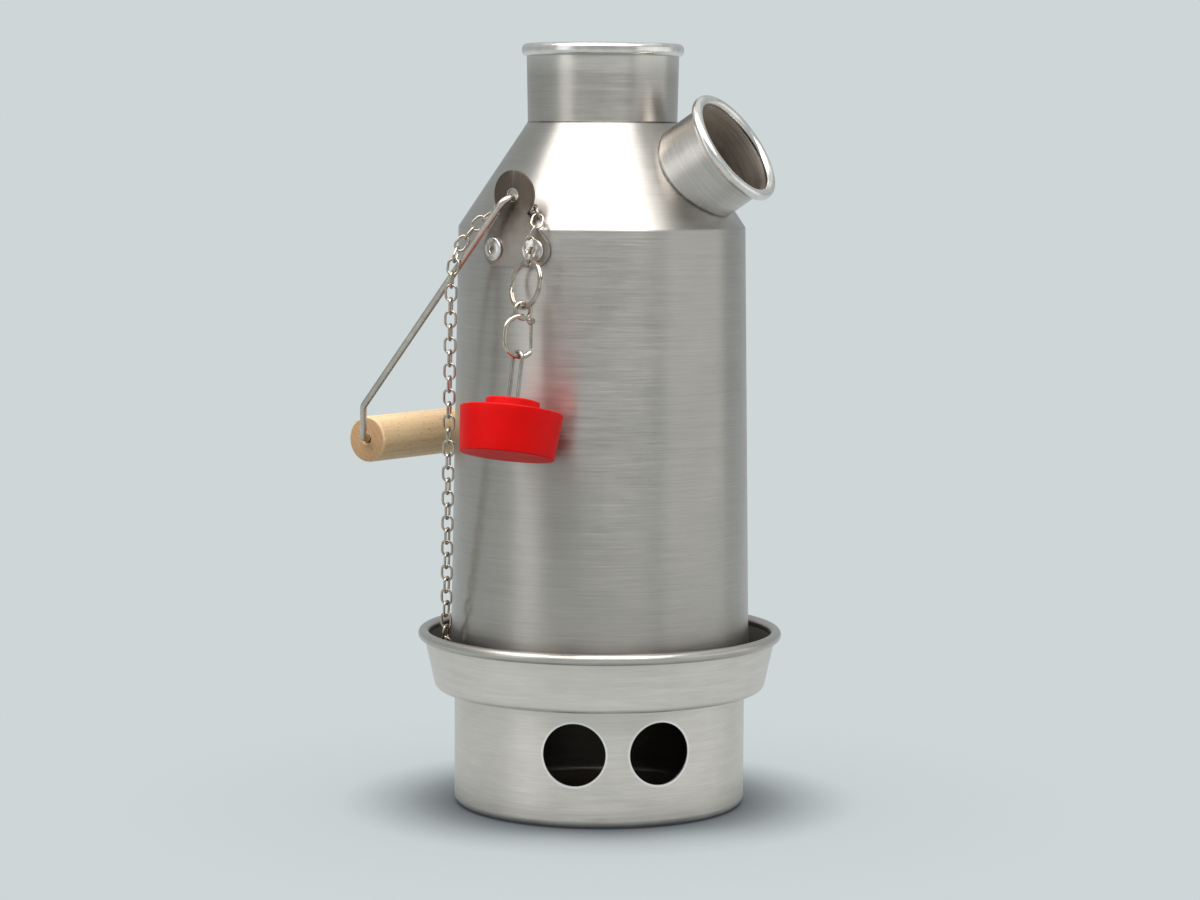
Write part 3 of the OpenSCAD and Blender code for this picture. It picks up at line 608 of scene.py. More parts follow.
def turned_beech(name, ring_mm=2.2, pith_x=-0.112, pith_z=0.131):
    """Beech, turned and sanded: pale rings about a pith beside the grip, long fibres, short dark flecks and
    darker ends. The pith's place is in metres."""
    m, t = blank(name)
    coords = node(t, "TexCoord").outputs
    grain = []
    # Width and length of each part of the grain, in millimetres: slow waves, fibres, flecks and tone
    for wide_mm, long_mm, detail in ((16, 110, 3), (0.7, 26, 4), (0.5, 3, 1), (25, 100, 2)):
        size = (PER_METRE / wide_mm, PER_METRE / long_mm, PER_METRE / wide_mm)
        drawn = node(t, "VectorMath", {0: coords["Object"], 1: size}, operation="MULTIPLY").outputs[0]
        marks = node(t, "TexNoise", {"Vector": drawn, "Scale": 1.0, "Detail": detail, "Roughness": 0.62})
        grain.append(marks.outputs[0])
    wave, fibre, fleck, tone = grain
    from_pith = node(t, "Mapping", {"Vector": coords["Object"], "Location": (-pith_x, 0, -pith_z),
                                    "Scale": (1, 0, 1)}).outputs[0]
    far = node(t, "VectorMath", {0: from_pith}, operation="LENGTH").outputs["Value"]
    phase = node(t, "Math", {0: far, 1: FULL * PER_METRE / ring_mm}, operation="MULTIPLY").outputs[0]
    phase = node(t, "Math", {0: wave, 1: 9.0, 2: phase}, operation="MULTIPLY_ADD").outputs[0]
    ring = node(t, "Math", {0: phase}, operation="SINE").outputs[0]
    late = node(t, "MapRange", {"Value": ring, "From Min": -1.0, "To Min": 0.2, "To Max": 0.8}).outputs[0]
    colour = node(t, "Mix", {0: late, COLOUR_A: rgb("e9cda2"), COLOUR_B: rgb("d5b283")},
                  data_type="RGBA").outputs[MIXED]
    for value, low, high, most, hexed in ((fibre, 0.3, 0.7, 0.55, "c39a69"), (tone, 0.3, 0.7, 0.25, "f0dab8"),
                                          (fleck, 0.62, 0.72, 0.6, "8f6640")):
        share = node(t, "MapRange", {"Value": value, "From Min": low, "From Max": high, "To Max": most})
        colour = node(t, "Mix", {0: share.outputs[0], COLOUR_A: colour, COLOUR_B: rgb(hexed)},
                      data_type="RGBA").outputs[MIXED]
    lengthwise = node(t, "SeparateXYZ", {0: coords["Normal"]}).outputs[1]
    facing_end = node(t, "Math", {0: lengthwise}, operation="ABSOLUTE").outputs[0]
    end = node(t, "MapRange", {"Value": facing_end, "From Min": 0.75, "From Max": 0.98, "To Max": 0.62})
    colour = node(t, "Mix", {0: end.outputs[0], COLOUR_A: colour, COLOUR_B: rgb("a98763")}, data_type="RGBA",
                  blend_type="MULTIPLY").outputs[MIXED]
    height = node(t, "Math", {0: fleck, 1: -0.4, 2: fibre}, operation="MULTIPLY_ADD").outputs[0]
    bump = node(t, "Bump", {"Strength": 0.22, "Distance": 0.0003, "Height": height}).outputs[0]
    gloss = node(t, "MapRange", {"Value": fibre, **NOISE_SPAN, "To Min": 0.48, "To Max": 0.64}).outputs[0]
    wood = node(t, "BsdfPrincipled", {"Base Color": colour, "Roughness": gloss, "Normal": bump})
    node(t, "OutputMaterial", {"Surface": wood.outputs[0]})
    return m


def moulded_silicone(name, cloud_mm=18, fine_mm=0.2, dust_mm=1.1):
    """Moulded silicone: an even soft red with a faint bloom, specks of dust and a fine mould texture."""
    m, t = blank(name)
    here = node(t, "TexCoord").outputs["Object"]
    layers = []
    for wide_mm, detail, roughness in ((cloud_mm, 3, 0.6), (fine_mm, 2, 0.6), (dust_mm, 5, 0.75)):
        marks = node(t, "TexNoise", {"Vector": here, "Scale": PER_METRE / wide_mm, "Detail": detail,
                                     "Roughness": roughness})
        layers.append(marks.outputs[0])
    cloud, fine, dust = layers
    tone = node(t, "MapRange", {"Value": cloud, **NOISE_SPAN}).outputs[0]
    colour = node(t, "Mix", {0: tone, COLOUR_A: rgb("be0000"), COLOUR_B: rgb("ca0200")},
                  data_type="RGBA").outputs[MIXED]
    specks = node(t, "MapRange", {"Value": dust, "From Min": 0.62, "From Max": 0.78, "To Max": 0.25})
    colour = node(t, "Mix", {0: specks.outputs[0], COLOUR_A: colour, COLOUR_B: rgb("e84a35")},
                  data_type="RGBA").outputs[MIXED]
    gloss = node(t, "MapRange", {"Value": cloud, **NOISE_SPAN, "To Min": 0.42, "To Max": 0.52}).outputs[0]
    bump = node(t, "Bump", {"Strength": 0.06, "Distance": 0.0002, "Height": fine}).outputs[0]
    rubber = node(t, "BsdfPrincipled", {"Base Color": colour, "Roughness": gloss, "Normal": bump, "IOR": 1.41,
                                        "Specular IOR Level": 0.2})
    node(t, "OutputMaterial", {"Surface": rubber.outputs[0]})
    return m


# Joints that get a line of painted shade: round the foot of the neck, and where the spout meets the
# shoulder's cone
CONE_SLOPE = (NECK_Z - SHOULDER_Z) / (SHOULDER_R - NECK_R)
NECK_SHADE_LINE = (0.0, NECK_Z * MM, 0.0005)
SPOUT_SHADE_LINE = (CONE_SLOPE, (SHOULDER_Z + CONE_SLOPE * SHOULDER_R) * MM, CONE_SLOPE * 0.0015)
along_spout = spun(SPOUT_HEADING) @ shifted(SPOUT_X, 0, SPOUT_Z) @ spun(90 - SPOUT_TILT, "Y")

# The dark line round the foot of the neck is painted shade
BODY = brushed_steel("brushed_stainless_body", "a49f99", "beb9b2", shaded_joint=NECK_SHADE_LINE)
# The bright bands round the base's vents are painted highlights
BASE = brushed_steel("pressed_stainless_base", "d6cfc7", "ece5dd", rough=(0.34, 0.48), pull=0.55, hair_mm=1.9,
                     highlit_vents=VENT_HEADINGS)
# Inside of the fire base: the same steel made darker, as painted shade for the shadow it lies in
BASE_IN_SHADED = brushed_steel("shaded_stainless_tray", "78716a", "958d84", rough=(0.4, 0.55), pull=0.4, hair_mm=1.6,
                        stain=0.3)
ROLL = brushed_steel("rolled_stainless_rim", "aaa49d", "cdc8c1", rough=(0.26, 0.38), pull=0.5, hair_mm=0.6)
FLUE = brushed_steel("dull_stainless_flue", "6f6963", "99938c", rough=(0.4, 0.55), pull=0.4, hair_mm=1.7,
                     stain=0.35)
# The dark line round the spout's foot is painted shade
SPOUT = brushed_steel("turned_stainless_spout", "b2aca5", "cfcac4", rough=(0.24, 0.36), pull=0.6,
                      leaning=along_spout, shaded_joint=SPOUT_SHADE_LINE)
BORE = brushed_steel("turned_stainless_bore", "a89c90", "cabfb3", rough=(0.42, 0.6), pull=0.5, relief=0.2,
                     leaning=along_spout)
LIP = polished_metal("polished_stainless_lip", "d5d1cb", "ece9e4", rough=(0.14, 0.26), smear_mm=9.5)
# The plate's darker, browner colour round the eye is a painted reflection
PLATE = satin_plate("satin_stainless_plate", "a39b93", "60564d")
RIVET = polished_metal("bright_steel_rivet", "cfcbc5", "e8e5e0", rough=(0.2, 0.34))
WIRE = polished_metal("drawn_steel_wire", "b3aba0", "cdc6bb", rough=(0.2, 0.32))
NICKEL = polished_metal("nickel_plate", "a2978a", "c6bbad", rough=(0.06, 0.16), smear_mm=4.1, pit_mm=0.24)
PIN = polished_metal("bent_steel_pin", "8f8981", "b4aea6", rough=(0.16, 0.28))
WOOD = turned_beech("turned_beech")
RED = moulded_silicone("moulded_red_silicone")


# Fire base: pressed floor, wall, ledge and tray with a rolled rim, and two vents

floor = Vector((BASE_R, 0))
ledge_in = Vector((BASE_R, BASE_H))
ledge_out = Vector((TRAY_R, BASE_H))
rim = Vector((RIM_R, RIM_Z))
outer = ([Vector((0, 0))] + bend((0, 0), floor, ledge_in, BASE_BEND)
         + bend(floor, ledge_in, ledge_out, LEDGE_BEND, 5)
         + bend(ledge_in, ledge_out, rim, BASE_BEND) + [rim])
inner = moved(outer, BASE_WALL)
way = (rim - ledge_out).normalized()
left = Vector((-way.y, way.x))
tail = left * BASE_WALL - way * math.sqrt(RIM_BEAD ** 2 - BASE_WALL ** 2)
roll_from = math.degrees(math.atan2(-way.y, -way.x))
roll_to = math.degrees(math.atan2(tail.y, tail.x)) + 360
roll = arc(rim, RIM_BEAD, roll_from, roll_to, 30)
outer_line = divided(outer[:-1] + roll[:1], 4)
inner_line = divided(roll[-1:] + inner[-2::-1], 4)
bm = bmesh.new()
for slot, line in enumerate((outer_line, roll, inner_line)):
    turn(bm, line, 256, slot=slot)
fire_base = piece(bm, "fire_base_sheet", "base", "base_steel", ["fire_base"], BASE, ROLL, BASE_IN_SHADED)
vents = [at_wall(heading, BASE_R / 2, VENT_Z) for heading in VENT_HEADINGS]
cut(fire_base, *[drill(vent, VENT_D / 2, BASE_R) for vent in vents])


# Kettle shell: wall, shoulder cone and neck

foot = Vector((BODY_R, FOOT_Z))
shoulder = Vector((SHOULDER_R, SHOULDER_Z))
neck = Vector((NECK_R, NECK_Z))
neck_top = Vector((NECK_TOP_R, NECK_TOP_Z))
wall = ([foot] + bend(foot, shoulder, neck, SHELL_BEND) + bend(shoulder, neck, neck_top, SHELL_BEND)
        + [neck_top])
section = sheet(wall, SHELL_WALL)
bore_r = SPOUT_R - SPOUT_WALL
bm = bmesh.new()
turn(bm, divided(section + section[:1], 10)[:-1], 256, closed=True)
shell = piece(bm, "kettle_shell_sheet", "kettle", "body_steel", ["kettle_shell"], BODY)
cut(shell, drill(along_spout @ shifted(0, 0, -SPOUT_HOLE_FROM), bore_r, SPOUT_HOLE_LEN))


# Flue with its hem, and the rolled lip of the chimney

hem = Vector((BODY_R - SHELL_WALL - TAPER * HEM_H - GAP - FLUE_WALL, FOOT_Z + FLUE_WALL))
cone_foot = Vector((FLUE_FOOT_R, FOOT_Z + FLUE_WALL))
throat = Vector((FLUE_R, NECK_Z - SHELL_BEND))
path = ([Vector((hem.x, hem.y + HEM_H))] + bend((hem.x, NECK_Z), hem, cone_foot, HEM_BEND, 4)
        + bend(hem, cone_foot, throat, FLUE_BEND, 5) + [throat, Vector((FLUE_R, LIP_Z + FLUE_IN_LIP))])
bm = bmesh.new()
turn(bm, sheet(path, FLUE_WALL), 192, closed=True)
piece(bm, "flue_sheet", "kettle", "flue_steel", ["flue"], FLUE)

in_r = FLUE_R - FLUE_WALL
roll_r = (LIP_R - in_r) / 2
mid_r, low_z, top_z = in_r + roll_r, LIP_Z + roll_r, LIP_Z + LIP_H - roll_r
lip = arc((mid_r, top_z), roll_r, 180, 0, 18) + arc((mid_r, low_z), roll_r, 0, -80, 9)
lip += [(NECK_TOP_R, LIP_Z + 0.15), (NECK_TOP_R - 0.2, LIP_Z), (in_r + 0.2, LIP_Z), (in_r, LIP_Z + 0.3)]
bm = bmesh.new()
turn(bm, lip, 192, closed=True)
piece(bm, "chimney_lip", "kettle", "flue_steel", [], LIP)


# Spout: a tube cut to meet the cone, with a rolled rim

root, mouth = Vector((SPOUT_R, -SPOUT_ROOT)), Vector((SPOUT_R, SPOUT_LEN))
bore_root, bore_mouth = Vector((bore_r, -SPOUT_ROOT)), Vector((bore_r, SPOUT_LEN))
bm = bmesh.new()
turn(bm, divided([root, mouth], 4), 160, along_spout)
turn(bm, divided([mouth, bore_mouth, bore_root, root], 4), 160, along_spout, slot=1)
spout = piece(bm, "spout_tube", "kettle", "spout_steel", ["spout"], SPOUT, BORE)
outside = moved(wall, -GAP * 1.2)
bm = bmesh.new()
turn(bm, [(0, outside[0].y)] + outside + [(0, outside[-1].y)], 256)
cut(spout, solid(bm, "kettle_space"))
bead = arc((bore_r + SPOUT_BEAD - GAP, SPOUT_LEN), SPOUT_BEAD, 0, 360, 32)[:-1]
bm = bmesh.new()
turn(bm, bead, 160, along_spout, closed=True)
piece(bm, "spout_rim", "kettle", "spout_steel", [], LIP)


# Brackets with their blind rivets

waist_turn = math.degrees(math.acos(WAIST / HEAD_R))
outline = (arc((0, 0), HEAD_R, -waist_turn, 180 + waist_turn, 44)
           + arc((-RIVET_HALF, -RIVET_DROP), LOBE_R, 150, 270, 18)
           + arc((RIVET_HALF, -RIVET_DROP), LOBE_R, 270, 390, 18))
eye = arc((0, 0), EYE_R, 0, 360, 32)[:-1]
# One line of the whole rivet: the hole that its pin left, its domed flange, its shank and the bulb behind
blind_rivet = [(0, -PIN_HOLE_DEPTH), (PIN_HOLE_R - 0.05, -PIN_HOLE_DEPTH), (PIN_HOLE_R, 0.2 - PIN_HOLE_DEPTH),
               (PIN_HOLE_R, FLANGE_H - 0.25), (PIN_HOLE_R + 0.2, FLANGE_H - 0.04), (2.2, FLANGE_H),
               (2.9, FLANGE_H - 0.06), (3.4, FLANGE_H - 0.28)]
blind_rivet += arc((FLANGE_R - 0.6, 0.55), 0.6, 60, -20, 6)
blind_rivet += [(FLANGE_R - 0.05, 0.12), (FLANGE_R - 0.2, 0), (SHANK_R, 0), (SHANK_R, -SHANK_LEN)]
blind_rivet += [(BULB_R, -SHANK_LEN), (BULB_R, 0.45 - BULB_END), (BULB_R - 0.5, 0.05 - BULB_END),
                (0, -BULB_END)]
rivet_turn = math.degrees(RIVET_HALF / PLATE_R)
for heading, side in ((-90, "front"), (90, "rear")):
    bm = bmesh.new()
    for face in bent_plate(bm, [outline, eye], PLATE_R, PLATE_T, EYE_Z, heading):
        p = face.calc_center_median()
        # Faces round the eye take the bright rivet metal: a painted highlight on the eye's edge
        if math.hypot(p.x, p.z - EYE_Z) < EYE_R + 0.5:
            face.material_index = 1
    piece(bm, "bracket_plate_" + side, "kettle", "bracket_steel", ["bracket_" + side], PLATE, RIVET)
    bm = bmesh.new()
    for off in (-rivet_turn, rivet_turn):
        turn(bm, blind_rivet, 40, at_wall(heading + off, PLATE_R + PLATE_T + GAP, EYE_Z - RIVET_DROP))
    piece(bm, "blind_rivets_" + side, "kettle", "rivet_steel", ["rivets_" + side], RIVET)


# Bail: pivot tips, legs, slopes that run in by 3 for each 4 down, and the level length in the grip

in_bail = shifted(0, 0, PIVOT_Z) @ spun(-BAIL_HANG, "Y") @ spun(90)
kink = math.degrees(math.acos(4 / 5))
tip = LEG_Y - TIP_Y - BAIL_BEND
leg = LEG_LEN - BAIL_BEND - BAIL_BEND / 3
slope = SLANT * 5 / 4 - BAIL_BEND / 3 - BAIL_BEND / 2
level = 2 * (LEG_Y - SLANT * 3 / 4 - BAIL_BEND / 2)
bail_lengths = [(straight, BAIL_BEND, degrees) for straight, degrees in (
    (tip, 90), (leg, kink), (slope, 90 - kink), (level, 90 - kink), (slope, kink), (leg, 90), (tip, 0))]
start = in_bail @ shifted(TIP_Y, 0, 0)
bm = bmesh.new()
bent_wire(bm, round_end(bm, start, BAIL_D / 2, 20), start, bail_lengths, 6, ease=0.4)
piece(bm, "bail_rod", "bail", "bail_steel", ["bail_wire"], WIRE)

# Grip, turned from end to end about its bore
half, grip_r, hole_r = GRIP_LEN / 2, GRIP_D / 2, GRIP_BORE / 2
half_grip = [Vector((hole_r, 0)), Vector((hole_r, half - 0.4)), Vector((hole_r + 0.4, half))]
half_grip += bend((0, half), (grip_r, half), (grip_r, 0), 1.2, 6)
whole_grip = half_grip + [Vector((p.x, -p.y)) for p in half_grip[:0:-1]]
along_grip = in_bail @ shifted(0, LEG_LEN + SLANT + GRIP_DROP, 0) @ spun(90, "Y")
bm = bmesh.new()
turn(bm, whole_grip, 72, along_grip, closed=True)
piece(bm, "turned_grip", "grip", "beech", ["wooden_grip"], WOOD)


# Chain: its route, by listed points, walked in steps of one link

# Points (right, in, up) from the front eye: up from the hinge, behind the bracket, over the bail and down
BESIDE_EYE = ((HINGE_SIDE, -HINGE_OUT, LINK_STEP / 2 - HINGE_DROP), (HINGE_SIDE, -HINGE_OUT, -16.45),
              (13, -3.3, -11.95), (12.3, -0.2, -7.85), (8.5, 2.7, -5.85), (3.6, 3.2, -4.25),
              (-1.6, 2.8, -4.75), (-6.8, 3.1, -5.15), (-11.6, 2.3, -6.85), (-15.7, 0.6, -9.65),
              (-18.8, -1.6, -13.15), (-20.9, -4.2, -17.15), (-23.4, -6.7, -22.15), (-22.8, -9.8, -27.35),
              (-22.9, -10.8, -35.75), (-23.2, -10.9, -49.75))
# Points (out from the body, degrees, above the ledge), first where the chain enters the tray
IN_TRAY = ((4.1, 234.2, 18.6), (3.8, 231.5, 12.3), (3.4, 228.2, 7.2), (3.1, 223.8, 3.9), (3, 218, 2.6),
           (3, 212, 2.6), (3, 206, 2.6), (3, 200, 2.6), (3.4, 195, 3.7), (3.7, 190, 5.9), (3.7, 185, 7.6),
           (3.7, 178, 8.6))
BELLY = Vector((8.4, -11.2, 0))
BELLY_AT = (0.15, 0.32, 0.49, 0.66, 0.83)
eye_at = Vector((0, -PLATE_R, EYE_Z))
beside_eye = [eye_at + Vector(p) for p in BESIDE_EYE]
in_tray = [polar(BODY_R + out, degrees, LEDGE_Z + up) for out, degrees, up in IN_TRAY]
hanging_line = [beside_eye[-1].lerp(in_tray[0], f) + BELLY * f * (1 - f) for f in BELLY_AT]
route = beside_eye + hanging_line + in_tray

joints, i = [route[0]], 0
while True:
    p = joints[-1]
    while i < len(route) - 1 and (route[i + 1] - p).length < LINK_PITCH:
        i += 1
    if i == len(route) - 1:
        break
    # Where the stretch of the route leaves a ball of one pitch about the last joint
    d, f = route[i + 1] - route[i], route[i] - p
    k, q = f.dot(d), d.dot(d)
    joints.append(route[i] + d * (-k + math.sqrt(k * k - q * (f.dot(f) - LINK_PITCH ** 2))) / q)

link_side = LINK_PITCH + LINK_STEP - 2 * LINK_BEND
# A link stands in XZ with its wire starting up one side
UP_Z = Matrix(((0, -1, 0, 0), (0, 0, -1, 0), (1, 0, 0, 0), (0, 0, 0, 1)))
up_side = shifted(LINK_BEND, 0, -link_side / 2) @ UP_Z


def chain_link(bm, place):
    start = place @ up_side
    ring = round_end(bm, start, LINK_WIRE / 2, 12)
    bent_wire(bm, ring, start, [(link_side, LINK_BEND, 180)] * 2, 13, joined=True)


def link_between(bm, p, q, roll):
    """A link from one joint to the next, rolled about its length."""
    t, middle = (q - p).normalized(), (p + q) / 2
    side = Vector((middle.x, middle.y, 0)).normalized().cross(t).normalized()
    spot = Matrix((side, t.cross(side), t)).transposed().to_4x4()
    chain_link(bm, shifted(*middle) @ spot @ spun(roll))


# Links by the number of the first, and the one past the last
links = len(joints) - 1
to_bail, past_bail = 8, 15
to_tray = sum(1 for p in joints if p.z > in_tray[0].z) - 1
for name, first, past in (("chain_behind_bracket", 0, to_bail), ("chain_over_bail", to_bail, past_bail),
                          ("chain_hanging", past_bail, to_tray), ("chain_in_tray", to_tray, links)):
    bm = bmesh.new()
    for i in range(first, past):
        # Links alternate by a quarter turn, and the first few roll from square to 45 degrees
        link_between(bm, joints[i], joints[i + 1], 45 * min(i / 3, 1) + (90 if i % 2 else 0))
    piece(bm, name + "_links", "kettle", "chain_nickel", [name], NICKEL)


# Lug on the kettle's foot: a riveted plate with a wire staple that the last link hangs in

lug_way = (joints[-1] - joints[-2]).normalized()
bar = joints[-1] + lug_way * (LINK_STEP / 2 - LINK_WIRE / 2 - LUG_WIRE_R - LUG_SLACK)
lug_turn, bar_r = math.degrees(math.atan2(bar.y, bar.x)), math.hypot(bar.x, bar.y)
lug_half = LUG_ROOM + LUG_WIRE_R
lug_foot = bar.z - lug_half - LUG_WIRE_R
lug_rivet_z = bar.z + lug_half + LUG_WIRE_R + LUG_MARGIN
lug_r = BODY_R - TAPER * (lug_foot - FOOT_Z) + GAP
lug_h = lug_rivet_z + LUG_MARGIN - lug_foot
square = [(LUG_MARGIN, 0), (LUG_MARGIN, lug_h), (-LUG_MARGIN, lug_h), (-LUG_MARGIN, 0)]
outline = [p for k in range(4) for p in bend(square[k - 1], square[k], square[(k + 1) % 4], LUG_CORNER, 5)]
reach = bar_r - lug_r - PLATE_T / 2 - LUG_WIRE_BEND
staple = [(reach, LUG_WIRE_BEND, 90), (2 * (lug_half - LUG_WIRE_BEND), LUG_WIRE_BEND, 90), (reach, 0, 0)]
start = spun(lug_turn) @ shifted(lug_r + PLATE_T / 2, 0, bar.z - lug_half) @ spun(90, "X")
bm = bmesh.new()
bent_plate(bm, [outline], lug_r, PLATE_T, lug_foot, lug_turn)
bent_wire(bm, round_end(bm, start, LUG_WIRE_R, 12), start, staple)
piece(bm, "chain_lug_plate", "kettle", "bracket_steel", ["chain_lug"], PLATE)
bm = bmesh.new()
turn(bm, blind_rivet, 40, at_wall(lug_turn, lug_r + PLATE_T + GAP, lug_rivet_z))
piece(bm, "lug_blind_rivet", "kettle", "rivet_steel", ["lug_rivet"], RIVET)


# What hangs from the first link

hanging = shifted(*HINGE) @ Matrix.Rotation(HINGE_TURN, 4, "Z") @ Matrix.Rotation(-LEAN, 4, "X")


def facing(heading):
    """Upright plane in the hanging frame, turned about its own height."""
    return hanging @ spun(heading) @ spun(90, "X")


bm = bmesh.new()
chain_link(bm, hanging @ shifted(0, 0, LINK_STEP - (LINK_PITCH + LINK_STEP) / 2) @ spun(90))
piece(bm, "stopper_link_wire", "link", "chain_nickel", ["stopper_link"], NICKEL)

# Split ring: flat wire wound twice, stepping over where its ends lie
ring_middle = facing(RING_FACING) @ shifted(0, -RING_DOWN, 0)
coil = ring_middle @ spun(RING_ENDS) @ shifted(RING_R, 0, -RING_COIL / 2) @ spun(90)
windings = [(0, RING_R, RING_TURN), (0, RING_R, RING_STEP, RING_COIL), (0, RING_R, RING_TURN)]
bm = bmesh.new()
bent_wire(bm, flat_end(bm, coil, RING_T / 2, RING_HALF_THICK, 0.18), coil, windings, 5)
piece(bm, "split_ring_coils", "clasp", "ring_nickel", ["split_ring"], NICKEL)


# Clasp: eye, cheeks, open loop and fork, then its gate and the gate's pin

in_clasp = facing(CLASP_FACING)
gate_top = Vector((CLASP_R * 0.6, -CLASP_TOP + CLASP_R * 0.8, 0))
nose = Vector((CLASP_R * 0.8, -CLASP_LOW - CLASP_R * 0.6, 0))
at_gate = in_clasp @ shifted(*gate_top)
gate_turn = math.degrees(math.acos(0.6))
nose_turn = math.degrees(math.acos(0.8))
# Cheeks fill the corners between the eye and the loop, out to the line that touches both or to the gate
apart = CLASP_TOP - CLASP_EYE_DOWN
touch = math.degrees(math.asin((CLASP_R - CLASP_EYE_R) / apart))
cross_down = (apart ** 2 + CLASP_EYE_R ** 2 - CLASP_R ** 2) / (2 * apart)
eye_cross = math.degrees(math.asin(cross_down / CLASP_EYE_R))
loop_cross = math.degrees(math.asin((apart - cross_down) / CLASP_R))
bm = bmesh.new()
turn(bm, arc((CLASP_EYE_R, 0), CLASP_EYE_WIRE_R, 0, 360, 14)[:-1], 36,
     in_clasp @ shifted(0, -CLASP_EYE_DOWN, 0), closed=True)
for eye_from, eye_to, loop_from, loop_to in (
        (180 + eye_cross, 180 - touch, 180 - touch, 180 - loop_cross),
        (-eye_cross, touch, gate_turn, loop_cross)):
    cheek = arc((0, -CLASP_EYE_DOWN), CLASP_EYE_R, eye_from, eye_to, 14)
    cheek += arc((0, -CLASP_TOP), CLASP_R, loop_from, loop_to, 14)
    flat_bar(bm, in_clasp, cheek, -CHEEK_HALF, CHEEK_HALF)
hook = at_gate @ spun(90 + gate_turn)
loop = [(0, CLASP_R, 180 - gate_turn), (CLASP_LOW - CLASP_TOP, CLASP_R, 180 - nose_turn)]
bent_wire(bm, round_end(bm, hook, CLASP_WIRE_R, 18), hook, loop, 6, ease=0.35)
for low, high in ((-FORK_OUT, -FORK_IN), (FORK_IN, FORK_OUT)):
    turn(bm, [(0, low), (FORK_R - 0.16, low), (FORK_R, low + 0.15),
              (FORK_R, high - 0.15), (FORK_R - 0.16, high), (0, high)], 36, at_gate)
piece(bm, "clasp_hook", "clasp", "clasp_nickel", ["clasp_body"], NICKEL)

to_nose = nose - gate_top
gate_root = GATE_EYE_R - 0.16
gate_len = to_nose.length - CLASP_WIRE_R - GATE_PLAY
gate_bar = at_gate @ spun(math.degrees(math.atan2(to_nose.y, to_nose.x))) @ shifted(gate_root, 0, 0)
gate_low = -GATE_HALF_THICK
gate_eye = [(GATE_BORE_R, gate_low), (gate_root, gate_low), (GATE_EYE_R, gate_low + 0.15)]
gate_eye += [(r, -z) for r, z in reversed(gate_eye)]
bm = bmesh.new()
bent_wire(bm, flat_end(bm, gate_bar, GATE_HALF_WIDE, GATE_HALF_THICK, 0.17), gate_bar,
          [(gate_len - gate_root, 0, 0)], ease=0.2)
turn(bm, gate_eye, 32, at_gate, closed=True)
piece(bm, "clasp_gate_bar", "gate", "clasp_nickel", ["clasp_gate"], NICKEL)

half_pin = [(0, -FORK_OUT), (GATE_PIN_R - 0.1, -FORK_OUT), (GATE_PIN_R, 0.13 - FORK_OUT)]
bm = bmesh.new()
turn(bm, half_pin + [(r, -z) for r, z in reversed(half_pin)], 24, at_gate)
piece(bm, "gate_rivet", "clasp", "clasp_nickel", ["gate_pin"], RIVET)


# Stopper and its wire eye, whose two prongs end in the plug

eye_r = PRONG_WIDE / 2
prong_foot = BOSS_DOWN + PRONG_DEPTH
prong = prong_foot - PRONG_TOP - eye_r
start = facing(PRONG_FACING) @ shifted(eye_r, -prong_foot, 0) @ spun(90)
bm = bmesh.new()
bent_wire(bm, round_end(bm, start, PRONG_WIRE / 2, 16), start, [(prong, eye_r, 180), (prong, 0, 0)], 7)
piece(bm, "stopper_eye_wire", "stopper", "eye_steel", ["stopper_eye"], PIN)

crest, top, low = -BOSS_DOWN, -BOSS_DOWN - BOSS_H, -BOSS_DOWN - BOSS_H - PLUG_H
steps = [(0, crest), (BOSS_R, crest), (BOSS_R, top), (PLUG_R, top), (PLUG_FOOT_R, low), (0, low)]
moulded = [Vector(steps[0])]
for k, ease in ((1, 0.7), (2, 0.5), (3, 0.6), (4, 0.5)):
    moulded += bend(steps[k - 1], steps[k], steps[k + 1], ease, 6)
bm = bmesh.new()
turn(bm, divided(moulded + [Vector(steps[-1])], 4), 144, hanging)
piece(bm, "moulded_stopper", "stopper", "red_silicone", ["stopper"], RED)


# Floor, with a dark shade close to the object and a faint wide one

BACKDROP = "ced6d8"
FLOOR_R = 1700
FLOOR_Z = -0.3
m, t = blank("studio_floor")
near = node(t, "AmbientOcclusion", {"Distance": 0.05}, samples=16).outputs["AO"]
wide = node(t, "AmbientOcclusion", {"Distance": 0.14}, samples=16).outputs["AO"]
dark = node(t, "Math", {0: near, 1: 2.2}, operation="POWER").outputs[0]
faint = node(t, "Math", {0: wide, 1: 0.35}, operation="POWER").outputs[0]
shade = node(t, "Math", {0: dark, 1: faint}, operation="MULTIPLY").outputs[0]
colour = node(t, "Mix", {0: shade, COLOUR_A: rgb("30363a"), COLOUR_B: rgb(BACKDROP)},
              data_type="RGBA").outputs[MIXED]
node(t, "OutputMaterial", {"Surface": node(t, "Emission", {"Color": colour}).outputs[0]})
bm = bmesh.new()
bmesh.ops.create_circle(bm, cap_ends=True, segments=96, radius=FLOOR_R, matrix=shifted(0, 0, FLOOR_Z))
paving = solid(bm, "floor_disc")
paving.data.materials.append(m)


# Room: how bright it is from straight down to straight up, broken by tall darker bands

